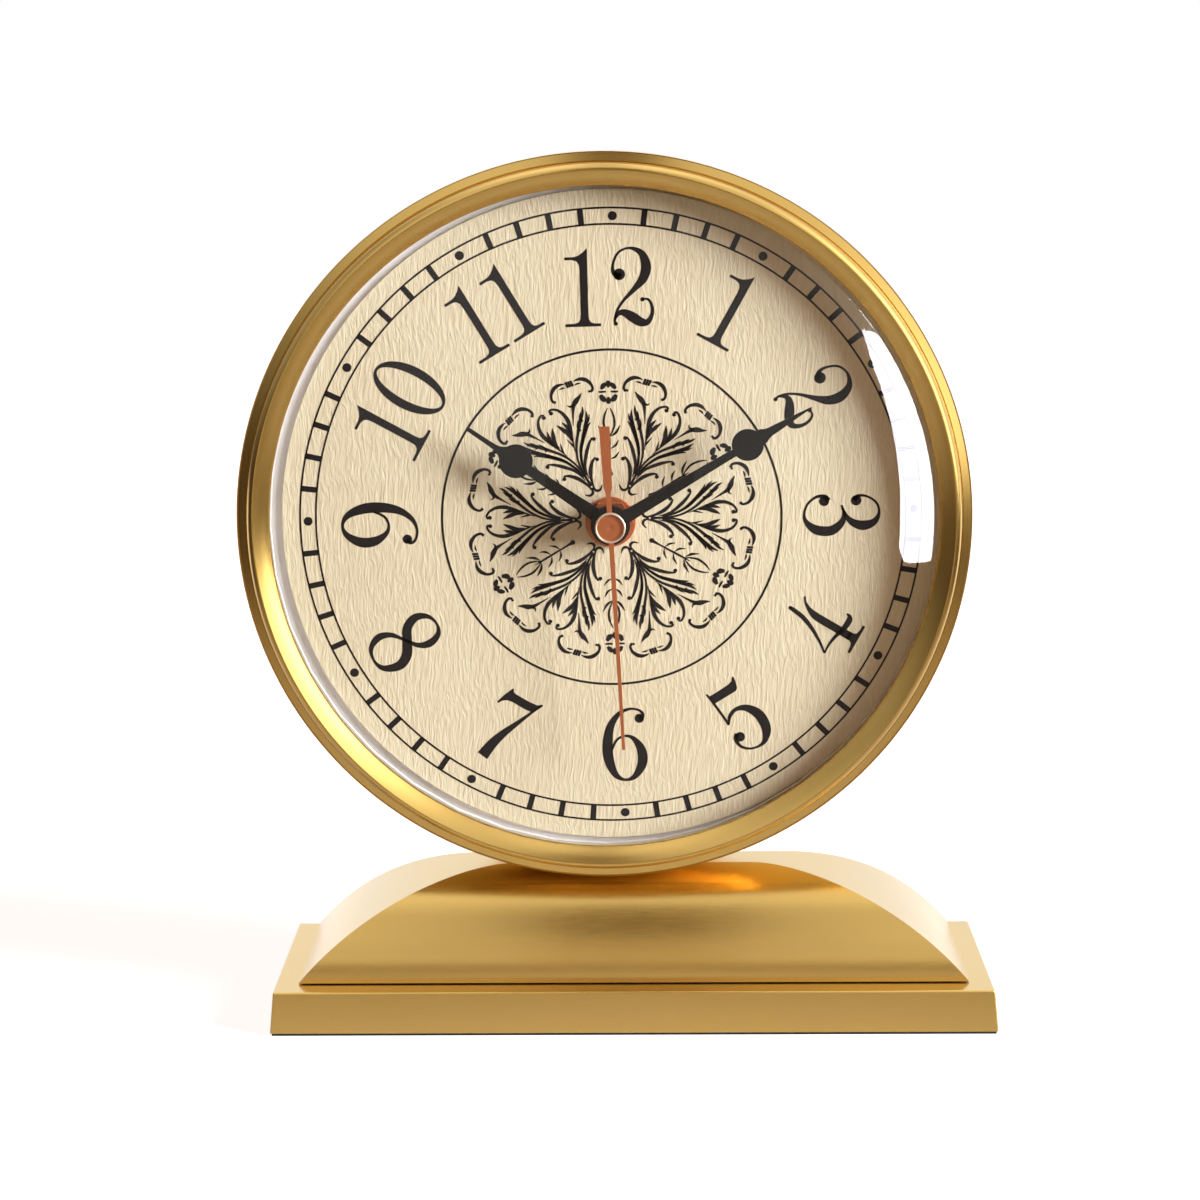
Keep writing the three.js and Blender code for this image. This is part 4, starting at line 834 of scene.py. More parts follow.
# Ornament, one half of a sixth: (degrees from the flower, radius, width) in millimetres
SPRAYS = [
    [(7.8, 31.9, 0.45), (6.7, 32.6, 0.4), (7.2, 33.9, 0.45), (8.9, 35.0, 0.6), (10.8, 35.5, 0.55),
     (12.7, 35.5, 0.32), (13.9, 35.3, 0.1)],
    [(11.2, 34.5, 0.1), (12.6, 34.55, 0.28), (13.8, 34.4, 0.1)],
    [(11.8, 32.1, 0.1), (13.4, 31.2, 0.5), (15.2, 30.5, 0.8), (17.0, 29.5, 0.6), (18.3, 27.9, 0.35),
     (19.4, 26.4, 0.2), (20.6, 25.0, 0.08)],
    [(16.4, 30.0, 0.4), (18.4, 29.6, 0.3), (19.6, 30.2, 0.06)],
    [(28.5, 12.6, 0.1), (26.6, 15.2, 0.34), (22.6, 18.4, 0.42), (17.6, 21.2, 0.5), (13.4, 23.6, 0.5),
     (10.6, 24.6, 0.08)],
    [(28.6, 9.6, 0.25), (29.8, 12.4, 0.3), (28.3, 16.4, 0.32), (24.2, 19.9, 0.38), (19.6, 22.9, 0.46),
     (16.0, 25.6, 0.55), (13.6, 27.4, 0.42), (12.9, 28.8, 0.06)],
    [(27.9, 12.4, 0.1), (26.6, 15.4, 0.26), (22.4, 18.7, 0.4), (17.8, 21.4, 0.44), (14.2, 23.9, 0.52),
     (12.2, 25.9, 0.46), (11.7, 27.6, 0.06)],
    [(18.0, 23.1, 0.45), (18.3, 24.4, 0.35), (17.3, 25.8, 0.06)],
    [(15.2, 25.2, 0.5), (15.6, 26.4, 0.35), (14.6, 27.6, 0.06)],
    [(14.2, 24.2, 0.4), (11.6, 25.2, 0.35), (10.4, 26.6, 0.06)],
    [(28.0, 8.4, 0.2), (26.0, 10.6, 0.4), (22.0, 13.0, 0.6), (17.3, 14.9, 0.45), (13.2, 15.9, 0.22)],
    [(27.6, 11.6, 0.12), (24.9, 14.7, 0.4), (19.4, 17.4, 0.55), (15.1, 19.5, 0.42), (11.9, 20.8, 0.22)],
    [(26.6, 19.0, 0.08), (24.4, 21.9, 0.3), (22.9, 24.3, 0.5), (22.2, 26.6, 0.62), (23.0, 28.6, 0.5),
     (25.0, 30.2, 0.38), (27.4, 30.9, 0.34), (28.6, 30.5, 0.3)],
    [(24.8, 21.6, 0.3), (25.2, 23.6, 0.6), (26.8, 25.2, 0.62), (28.6, 26.8, 0.1)],
    [(23.4, 23.4, 0.3), (24.2, 25.4, 0.5), (25.4, 26.9, 0.08)],
    [(25.8, 20.0, 0.2), (26.4, 21.2, 0.28), (27.6, 22.6, 0.06)],
    [(14.0, 8.9, 0.12), (19.0, 7.9, 0.35), (26.0, 8.0, 0.42), (29.6, 9.2, 0.2)],
    [(0.6, 27.6, 0.1), (2.4, 25.8, 0.3), (3.2, 23.6, 0.34), (1.8, 21.6, 0.22), (0.2, 20.4, 0.1)],
    [(1.2, 20.6, 0.1), (4.4, 21.6, 0.4), (6.6, 23.4, 0.1)],
    [(1.0, 17.6, 0.1), (4.6, 18.4, 0.34), (6.4, 19.8, 0.08)],
    [(1.0, 15.0, 0.1), (5.0, 15.6, 0.32), (7.8, 16.9, 0.08)],
    [(1.2, 29.4, 0.5), (2.6, 29.9, 0.85), (3.6, 30.9, 0.45)],
    [(1.0, 33.6, 0.5), (2.2, 33.0, 0.75), (3.2, 32.3, 0.35)],
    [(1.0, 31.6, 0.25), (3.0, 31.6, 0.35), (4.4, 31.7, 0.2)],
]
AXIS_SPRAYS = [
    [(0, 11.8, 0.5), (0, 13.4, 0.28), (0, 16.4, 0.3), (0, 19.4, 0.34), (0, 22.2, 0.1)],
    [(0, 28.6, 0.4), (0, 29.4, 0.8), (0, 30.3, 0.3)],
    [(0, 32.6, 0.3), (0, 33.6, 0.85), (0, 34.3, 0.4)],
]
SPRAY_BALLS = [(12.0, 15.3, 0.5), (10.9, 20.4, 0.5), (28.0, 30.1, 0.5), (8.3, 32.1, 0.32)]
AXIS_BALLS = [(0, 11.3, 0.62), (0, 20.9, 0.36)]
ROPE = [(14.5, 34.2), (15.0, 35.7), (15.5, 34.2), (16.1, 35.7), (16.6, 34.2), (17.1, 35.7)]
ROPE_WIDTH = 0.36
LOBE_TURN = 31.6  # degrees at which the outermost sprays are seen again, mirrored

# How far the figures of the hours with two digits stand aside, and what a one is shifted by besides
DIGIT_PLACES = {"10": (-0.3, 0.29), "11": (-0.245, 0.285), "12": (-0.36, 0.27)}
ONE_SHIFT = 0.02

INK_BACK, INK_FRONT = 0.005, 0.035  # millimetres in front of the dial


def smooth_path(points, steps=6, loop=False):
    """A smooth path through points; each point is a tuple of any length."""
    out = []
    count = len(points)
    pieces = count if loop else count - 1
    for index in range(pieces):
        if loop:
            a, b, c, d = (points[(index + shift) % count] for shift in (-1, 0, 1, 2))
        else:
            a = points[max(index - 1, 0)]
            b, c = points[index], points[index + 1]
            d = points[min(index + 2, count - 1)]
        for step in range(steps):
            t = step / steps
            out.append(tuple(
                0.5 * (2 * q + (r - p) * t + (2 * p - 5 * q + 4 * r - s) * t ** 2
                       + (3 * q - p - 3 * r + s) * t ** 3)
                for p, q, r, s in zip(a, b, c, d)
            ))
    if not loop:
        out.append(tuple(points[-1]))
    return out


class Sheet:
    """Gathers flat printed shapes, then draws them out into one thin raised piece."""

    def __init__(self):
        self.vertices = []
        self.faces = []

    def face(self, points):
        """A filled outline."""
        first = len(self.vertices)
        self.vertices += points
        self.faces.append(list(range(first, first + len(points))))

    def ribbon(self, path, loop=False):
        """A band along (across, up, width) points, in metres."""
        sides = []
        count = len(path)
        for index, (across, up, width) in enumerate(path):
            before = path[index - 1] if loop or index else path[0]
            after = path[(index + 1) % count] if loop or index < count - 1 else path[-1]
            run = Vector((after[0] - before[0], after[1] - before[1]))
            if run.length < 1e-9:
                run = Vector((1.0, 0.0))
            side = Vector((-run.y, run.x)).normalized() * width / 2
            sides.append(((across + side.x, up + side.y), (across - side.x, up - side.y)))
        first = len(self.vertices)
        for left, right in sides:
            self.vertices += [left, right]
        for index in range(count if loop else count - 1):
            near = first + index * 2
            far = first + ((index + 1) % count) * 2
            self.faces.append([near, near + 1, far + 1, far])

    def dot(self, across, up, radius, steps=20):
        """A filled circle."""
        self.face([
            (across + radius * math.cos(angle), up + radius * math.sin(angle))
            for angle in (2 * math.pi * step / steps for step in range(steps))
        ])

    def band(self, middle_at, outer, inner, steps=48):
        """A ring between two ellipses."""
        first = len(self.vertices)
        for step in range(steps):
            angle = 2 * math.pi * step / steps
            for half in (outer, inner):
                self.vertices.append((
                    middle_at[0] + half[0] * math.cos(angle), middle_at[1] + half[1] * math.sin(angle),
                ))
        for step in range(steps):
            near = first + step * 2
            far = first + (step + 1) % steps * 2
            self.faces.append([near, near + 1, far + 1, far])

    def moved(self, other, place):
        """Adds another sheet, with a function that maps its points."""
        first = len(self.vertices)
        self.vertices += [place(*point) for point in other.vertices]
        self.faces += [[first + index for index in face] for face in other.faces]

    def piece(self, name, low, high):
        """The raised piece between two distances in front of the dial, in millimetres."""
        mesh = bpy.data.meshes.new(name)
        mesh.from_pydata([(across, ahead(low), up) for across, up in self.vertices], [], self.faces)
        made = bpy.data.objects.new(name, mesh)
        bpy.context.scene.collection.objects.link(made)
        pick(made)
        bpy.ops.object.mode_set(mode="EDIT")
        bpy.ops.mesh.select_all(action="SELECT")
        bpy.ops.mesh.extrude_region_move(TRANSFORM_OT_translate={"value": (0, ahead(high) - ahead(low), 0)})
        bpy.ops.mesh.select_all(action="SELECT")
        bpy.ops.mesh.normals_make_consistent(inside=False)
        bpy.ops.object.mode_set(mode="OBJECT")
        return made


def figure(digit, weight):
    """One figure as a flat sheet, one unit tall."""
    sheet = Sheet()
    if digit == "9":
        sheet.moved(figure("6", weight), lambda across, up: (-across, 1 - up))
        return sheet
    parts = FIGURES[digit]
    for stroke in parts.get("strokes", []):
        sheet.ribbon([(across, up, wide * weight) for across, up, wide in smooth_path(stroke)])
    for loop in parts.get("loops", []):
        path = smooth_path(loop, loop=True)
        sheet.ribbon([(across, up, wide * weight) for across, up, wide in path], loop=True)
    for shape in parts.get("shapes", []):
        sheet.face(shape)
    for across, up, radius in parts.get("balls", []):
        sheet.dot(across, up, radius)
    for at, outer, inner in parts.get("rings", []):
        sheet.band(at, outer, inner)
    return sheet


def numeral(hour, weight):
    """An hour's figures side by side, round their own middle."""
    sheet = Sheet()
    digits = str(hour)
    for digit, offset in zip(digits, DIGIT_PLACES.get(digits, (0.0,))):
        shift = offset + (ONE_SHIFT if digit == "1" else 0.0)
        sheet.moved(figure(digit, weight), lambda across, up: (across + shift, up - 0.5))
    return sheet


def clockwise(across, up, degrees):
    """A point turned clockwise round the hands' axis."""
    turn = math.radians(degrees)
    return (
        across * math.cos(turn) + up * math.sin(turn),
        up * math.cos(turn) - across * math.sin(turn),
    )


def round_shaft(half, degrees):
    """A hand's outline from its right half in millimetres, turned clockwise to its place on the dial."""
    turned_points = [clockwise(across * MM, up * MM, degrees) for across, up in mirrored(half)]
    return [(SHAFT.x + x, SHAFT.z + z) for x, z in turned_points]


# Stage values: places and sizes in metres, turns in degrees, powers in watts

WHITE = (1.0, 1.0, 1.0)
WARM_WHITE, DUSK = (1.0, 0.94, 0.85), (0.05, 0.034, 0.022)  # the room's bright and dim parts in mirrors
AMBIENT = (0.27, 0.14, 0.075)  # the room's light on matt pieces
FLOOR_MIDDLE, FLOOR_HALF = (0, 0.4, 0), (1.8, 1.6, 1)
FLOOR_GLOOM, FLOOR_DARK = (0.36, 0.28, 0.20), (0.08, 0.055, 0.038)  # near the clock, and aside
SHEET_X = 0.325  # the sheet stands upright here
SHEET_CORNERS = (
    (-0.290, 0.312), (-0.362, 0.255), (-0.400, 0.200), (-0.470, 0.092), (-0.506, 0.040), (-0.508, 0.002),
    (-0.39, 0.003), (-0.02, 0.054), (-0.02, 0.285),
)
SHEET_COLOUR, SHEET_GLOW = (0.9, 0.9, 1.0), 44.0
SHOULDER_X = (0.052, 0.057)  # between these places on the lens the sheet begins to show
FLAG_PLACE, FLAG_SIZE = (0, -0.26, 0.26), (0.085, 1, 0.5)
FLAG_LOW, FLAG_HIGH = (0.62, 0.52, 0.42), (0.13, 0.075, 0.035)  # its tone near the floor and above
LAMP_TURN, LAMP_OFF_AXIS, LAMP_ROLL = 74, 71.5, 6  # clockwise from the top, away from the dial's axis, roll
LAMP_DISTANCE, LAMP_SIZE = 6.0, (1.44, 3.9)
CAMERA_PLACE = (0.00068, -0.6278, 0.2368)
CAMERA_TURN = (11.82, -0.78, -0.47)  # pitch, yaw and roll
CAMERA_LENS, SENSOR_WIDTH = 76.45, 36  # millimetres

# Groups of pieces that a lamp lights alone or leaves out
LENS_SHINE, BEZEL_SHINE, WITHOUT_KEY = "Lens shine", "Bezel shine", "Without key"
LAMPS = (("key_box", 985.0, WITHOUT_KEY), ("rim_box", 34.0, BEZEL_SHINE))


def light_group(name):
    """A group of pieces for the lamps, made once."""
    if name not in bpy.data.collections:
        bpy.data.collections.new(name)
    return bpy.data.collections[name]


def away_from_key(piece):
    """Keeps the key lamp's direct light off a piece that the photograph shows without it."""
    shaded = light_group(WITHOUT_KEY)
    shaded.objects.link(piece)
    shaded.collection_objects[-1].light_linking.link_state = "EXCLUDE"


def only_mirrored(card):
    """Hides a card from everything but mirroring pieces."""
    card.visible_camera = False
    card.visible_diffuse = False
    card.visible_transmission = False
    card.visible_shadow = False


# Operators

class PieceOperator:
    """What all of the clock's operators share."""
    bl_options = {"REGISTER", "UNDO"}

    def execute(self, context):
        """Makes the pieces with the scene's settings."""
        self.make(context.scene.desk_clock)
        pick_nothing()
        return {"FINISHED"}


class CLOCK_OT_stage(PieceOperator, bpy.types.Operator):
    """Make the floor, the light and the camera"""
    bl_idname = "clock.stage"
    bl_label = "Stage"

    def make(self, settings):
        self.floor()
        self.sheet()
        self.flag()
        self.lamps()
        self.sky()
        self.camera()
        bpy.context.scene.view_settings.view_transform = "Standard"

    def floor(self):
        """The floor: white to the eye, and dim where the metal mirrors it from near or from the sides."""
        pick_nothing()
        bpy.ops.mesh.primitive_plane_add(size=2, location=FLOOR_MIDDLE)
        bpy.ops.transform.resize(value=FLOOR_HALF)
        floor = settled("floor")
        pale = Finish("Pale floor")
        seen, glossy = pale.ray("Is Camera Ray"), pale.ray("Is Glossy Ray")
        x, y, _ = pale.parts(pale.place())
        rear = pale.fit(y, 0.0, 0.12)
        sideways = pale.fit(abs(x), 0.2, 0.45, smooth=True) * (1 - rear)
        near = pale.fit(y, -0.20, -0.02, smooth=True) * (1 - sideways)
        matt = pale.node("ShaderNodeBsdfDiffuse", None, Color=(0.5, 0.5, 0.5))
        glow = pale.glow(WHITE, seen * 0.88 + glossy * (rear * 0.7 + 0.1))
        lit = pale.node("ShaderNodeAddShader", None, matt, glow)
        gloom = pale.glow(pale.mixed(sideways, FLOOR_GLOOM, FLOOR_DARK))
        both = pale.node("ShaderNodeMixShader", None, (1 - seen) * (1 - near), lit, gloom)
        floor.data.materials.append(pale.finished(both))

    def sheet(self):
        """The pale sheet at the right, which shows as a strip in the lens's right shoulder and nowhere else: a
        painted reflection, cut by where the mirrored ray left the lens.
        """
        pick_nothing()
        bpy.ops.mesh.primitive_circle_add(vertices=len(SHEET_CORNERS), radius=1, fill_type="NGON")
        for vertex, (y, z) in zip(bpy.context.object.data.vertices, SHEET_CORNERS):
            vertex.co = (SHEET_X, y, z)
        sheet = settled("pale_sheet")
        pale = Finish("Pale sheet")
        lean = pale.node("ShaderNodeLayerWeight", None, output="Facing", Blend=0.5)
        # Where the mirrored ray left the lens, read back from its length and slant; the glow is cut by it,
        # which paints the reflection onto the shoulder alone.
        start = SHEET_X - pale.ray("Ray Length") * (1 - lean)
        glow = pale.glow(SHEET_COLOUR, pale.fit(start, *SHOULDER_X) * SHEET_GLOW)
        through = pale.node("ShaderNodeBsdfTransparent", None, Color=WHITE)
        sheet.data.materials.append(pale.finished(pale.node("ShaderNodeAddShader", None, glow, through)))
        sheet.light_linking.receiver_collection = light_group(LENS_SHINE)
        only_mirrored(sheet)

    def flag(self):
        """The dark card before the clock, which shows only as the darker middle of the polished base."""
        pick_nothing()
        bpy.ops.mesh.primitive_plane_add(size=1, location=FLAG_PLACE, rotation=(math.radians(90), 0, 0))
        bpy.ops.transform.resize(value=FLAG_SIZE)
        flag = settled("dark_flag")
        dark = Finish("Dark flag")
        _, _, z = dark.parts(dark.place())
        tone = dark.mixed(dark.fit(z, 0.03, 0.24, smooth=True), FLAG_LOW, FLAG_HIGH)
        flag.data.materials.append(dark.finished(dark.glow(tone)))
        only_mirrored(flag)

    def lamps(self):
        """The tall lamp at the upper right, and a weak one in the same place for the bezel alone."""
        turn, lean = math.radians(LAMP_TURN), math.radians(LAMP_OFF_AXIS)
        way = Vector((math.sin(lean) * math.sin(turn), -math.cos(lean), math.sin(lean) * math.cos(turn)))
        rolled = way.to_track_quat("Z", "Y") @ Quaternion((0, 0, 1), math.radians(LAMP_ROLL))
        for name, power, lit in LAMPS:
            pick_nothing()
            bpy.ops.object.light_add(type="AREA", location=Vector(SHAFT_AXIS) + way * LAMP_DISTANCE)
            lamp = bpy.context.object
            lamp.name = name
            lamp.rotation_euler = rolled.to_euler()
            lamp.data.shape = "RECTANGLE"
            lamp.data.size, lamp.data.size_y = LAMP_SIZE
            lamp.data.energy = power
            lamp.light_linking.receiver_collection = light_group(lit)

    def sky(self):
        """The room: white to the eye, warm and dim on matt pieces, and for mirrors bright ahead and aside."""
        world = bpy.data.worlds.new("Studio")
        bpy.context.scene.world = world
        room = Finish("Studio", world)
        x, y, z = room.parts(room.node("ShaderNodeTexCoord", output="Generated"))
        camera, glossy = room.ray("Is Camera Ray"), room.ray("Is Glossy Ray")
        behind = room.fit(y + x * 0.25, 0.25, 0.6, smooth=True)
        flank = room.fit(abs(x), 0.01, 0.09, smooth=True)
        mid = room.fit(z, 0.5, 0.72, 0.22, 0.6)
        high = room.fit(z, 0.0, 0.4) * (1 - room.fit(z, 0.5, 0.9, 0.0, 0.15))
        high = high * (flank * (1 - mid) + mid) * room.fit(-x, 0.3, 0.7, 1.0, 0.4)
        central, low = 1 - room.fit(abs(x), 0.22, 0.5, smooth=True), 1 - room.fit(z, 0.1, 0.5)
        front = (flank * 0.3 + 0.6) * central * low
        side = room.fit(x, 0.45, 0.75, smooth=True) * (0.9 - room.fit(y, -0.25, -0.05) * 0.5)
        ahead_tone = room.mixed(1 - (1 - front) * (1 - high) * (1 - side), DUSK, WARM_WHITE)
        mirror_tone = room.mixed(behind, ahead_tone, WHITE)
        colour = room.mixed(camera, room.mixed(glossy, AMBIENT, mirror_tone), WHITE)
        zenith = room.fit(z, 0.8, 0.95) * flank
        extra = zenith * 0.6 + behind * 0.1 + side * (1 - behind) * 2.0
        strength = extra * glossy * (1 - camera) + 1.0
        room.finished(room.node("ShaderNodeBackground", None, Color=colour, Strength=strength), "World")

    def camera(self):
        """The camera, placed and turned as for the photograph."""
        pitch, yaw, roll = (math.radians(angle) for angle in CAMERA_TURN)
        forward = Vector((
            math.sin(yaw) * math.cos(pitch), math.cos(yaw) * math.cos(pitch), -math.sin(pitch),
        ))
        right = forward.cross(Vector((0, 0, 1))).normalized()
        up = right.cross(forward)
        level = right * math.cos(roll) + up * math.sin(roll)
        pick_nothing()
        bpy.ops.object.camera_add(location=CAMERA_PLACE)
        camera = bpy.context.object
        camera.matrix_world = Matrix.Translation(camera.location) @ Matrix(
            (level, level.cross(forward), -forward)
        ).transposed().to_4x4()
        camera.data.lens = CAMERA_LENS
        camera.data.sensor_width = SENSOR_WIDTH
        bpy.context.scene.camera = camera


class CLOCK_OT_plinth(PieceOperator, bpy.types.Operator):
    """Make the plinth and the pad under it"""
    bl_idname = "clock.plinth"
    bl_label = "Plinth and pad"

    def make(self, settings):
        low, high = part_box("plinth")
        plinth = block("plinth_block", low, high)
        draft, rim, hollow = settings.base.plinth_draft, 2.0 * MM, 0.9 * MM
        faces_where(plinth, lambda face: face.normal.z > 0.5)
        bpy.ops.transform.resize(value=(
            1 - 2 * draft / (high.x - low.x), 1 - 2 * draft / (high.y - low.y), 1,
        ), center_override=((low.x + high.x) / 2, (low.y + high.y) / 2, high.z))
        bpy.ops.object.mode_set(mode="OBJECT")
        faces_where(plinth, lambda face: face.normal.z < -0.5)
        bpy.ops.mesh.inset(thickness=rim)
        bpy.ops.mesh.extrude_region_move(TRANSFORM_OT_translate={"value": (0, 0, hollow)})
        bpy.ops.object.mode_set(mode="OBJECT")
        bevelled(plinth, settings.base.plinth_edge, 5, 30, 40)
        given(plinth, "clock_body", "satin_brass", "brass_flat", "plinth")

        lip, gap, edge = 1.75 * MM, 0.02 * MM, 0.15 * MM
        lip_top = low.z - gap
        low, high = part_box("base_pad")
        pad = block("pad", low, high)
        strip = block("pad_lip", low - Vector((lip, lip, 0)), (high.x + lip, high.y + lip, lip_top))
        pick(combined(pad, "UNION", strip))
        pad = settled("felt_pad")
        bevelled(pad, edge, 2, 30, 40)
        given(pad, "clock_body", "black_felt", "felt", "base_pad")


class CLOCK_OT_arch(PieceOperator, bpy.types.Operator):
    """Make the arched block between the plinth and the drum"""
    bl_idname = "clock.arch"
    bl_label = "Arched block"

    def make(self, settings):
        low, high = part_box("arch_block")
        height = high.z - low.z
        flat = settings.base.arch_flat / 2
        run = (high.x - low.x) / 2 - flat
        sweep = (run * run + height * height) / (2 * height)
        lowest = math.degrees(math.asin((sweep - height) / sweep))
        right = arc((flat, high.z - sweep), sweep, lowest, 90, 40)
        along = plate("arched_block", mirrored(right), low.y, high.y)

        half = (high.y - low.y) / 2
        centre = (high.y + low.y) / 2
        apex = height + settings.base.arch_nose
        last = math.degrees(math.asin(height / apex))
        front = [
            (centre - half * math.cos(angle), low.z + apex * math.sin(angle))
            for angle in (math.radians(last * step / 28) for step in range(29))
        ]
        beyond = 0.01
        across = plate("nose", mirrored(front, centre), low.x - beyond, high.x + beyond, "X")
        combined(along, "INTERSECT", across)
        bevelled(along, settings.base.arch_edge, 2, 14, 20)
        given(along, "clock_body", "satin_brass", "brass_flat", "arch_block")


class CLOCK_OT_drum(PieceOperator, bpy.types.Operator):
    """Make the case of the drum"""
    bl_idname = "clock.drum"
    bl_label = "Drum case"

    # The two ledges inside: how far they reach in, and where they begin and end in front of the dial's face
    LEDGES = ((4.6, -3.1, -4.3), (10.6, -22.3, -23.5))

    def make(self, settings):
        low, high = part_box("drum_case")
        outer = radius_of("drum_case")
        inner = outer - settings.drum.case_wall / MM
        lip, back = ahead_of(low.y), ahead_of(high.y)
        profile, rounds = [(outer, back), (outer, lip), (inner, lip)], [0.4, 0.2, 0.2]
        for reach, front, rear in self.LEDGES:
            profile += [(inner, front), (inner - reach, front), (inner - reach, rear), (inner, rear)]
            rounds += [0, 0.2, 0.2, 0]
        profile.append((inner, back))
        rounds.append(0.3)
        case = turned("drum_shell", softened(profile, rounds), DRUM_AXIS)
        given(case, "clock_body", "satin_brass", "brass_case", "drum_case")
        away_from_key(case)


class CLOCK_OT_bezel(PieceOperator, bpy.types.Operator):
    """Make the bezel"""
    bl_idname = "clock.bezel"
    bl_label = "Bezel"

    # How far the inner slope bulges: share of the way in, and millimetres
    BULGE = ((0.25, 0.12), (0.5, 0.16), (0.75, 0.12), (0.94, 0.03))

    def make(self, settings):
        low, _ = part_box("bezel")
        rim, top = radius_of("bezel"), ahead_of(low.y)
        foot = rim - settings.drum.band_width / MM
        ridge = foot - settings.drum.round_width / MM
        opening = ridge - settings.drum.slope_width / MM
        skirt, sleeve, recess = 88.3, 87.3, 84.9  # radii outside and inside the skirt, and round the lens
        end, seat, step = -2.5, -0.5, 1.0  # places of the skirt's end, of the lens's seat and of the rim's back
        band, shelf, edge, under = 4.3, 4.8, 4.5, 3.8  # places of the band, the round's foot and the opening
        rounded = [
            (ridge + (x - ridge) * (foot - ridge), shelf + (z - shelf) * (top - shelf))
            for x, z in arc((ridge, shelf), 1.0, 0, 90, 8)
        ]
        profile = softened([(skirt, end), (skirt, step), (rim, step), (rim, band)], [0.1, 0, 0.25, 0.7])
        profile += [(foot + 0.35, band), (foot + 0.1, 4.05), (foot, 4.25)]
        profile += rounded[:-1]
        profile += softened([rounded[-2], (ridge, top), (opening, edge)], [0, 0.35, 0], 5)[1:-1]
        profile += [
            (ridge + (opening - ridge) * share, top + (edge - top) * share + bulge)
            for share, bulge in self.BULGE
        ]
        profile += softened([
            (opening, edge), (opening, under), (recess, under), (recess, seat), (sleeve, seat), (sleeve, end),
        ], [0.15, 0.1, 0, 0, 0, 0.1])
        bezel = turned("bezel_ring", profile, DRUM_AXIS, steps=192, degrees=24)
        given(bezel, "clock_body", "satin_brass", "brass_rings", "bezel")
        away_from_key(bezel)
        light_group(BEZEL_SHINE).objects.link(bezel)


class CLOCK_OT_lens(PieceOperator, bpy.types.Operator):
    """Make the domed lens"""
    bl_idname = "clock.lens"
    bl_label = "Lens"

    def surface(self, settings, inset):
        """Foot radius and points of the lens's outer or inner surface, from the foot to the middle."""
        opening, shoulder, wall_top = 81.7, 11.0, 5.0
        lean = math.radians(30)
        rise = settings.drum.lens_rise / MM
        edge = opening - shoulder
        crown = (edge * edge + rise * rise) / (2 * rise)
        start = math.asin(edge / crown)
        bend = shoulder / (math.sin(lean) - math.sin(start))
        front = wall_top + bend * (math.cos(start) - math.cos(lean))
        points = []
        for step in range(17):
            angle = lean + (start - lean) * step / 16
            points.append((
                edge - bend * math.sin(start) + (bend - inset) * math.sin(angle),
                front - bend * math.cos(start) + (bend - inset) * math.cos(angle),
            ))
        for step in range(1, 15):
            angle = start * (1 - step / 14)
            points.append((
                (crown - inset) * math.sin(angle), front + rise - crown + (crown - inset) * math.cos(angle),
            ))
        foot = opening - inset
        return foot, [point for point in points if point[0] < foot - 0.3]

    def make(self, settings):
        thickness = 1.5
        foot, outer = self.surface(settings, 0)
        inner_foot, inner = self.surface(settings, thickness)
        flange = [(84.5, 2.0), (84.6, 2.1), (84.6, 3.4), (84.5, 3.5)]
        profile = [
            *reversed(inner), (inner_foot, 2.0), *flange, (foot, 3.5), (foot, 4.5), (foot - 0.06, 4.85), *outer,
        ]
        lens = turned("clear_dome", profile, DRUM_AXIS, steps=192, degrees=35, closed=False)
        given(lens, "clock_body", "clear_lens", "clear", "lens")
        light_group(LENS_SHINE).objects.link(lens)


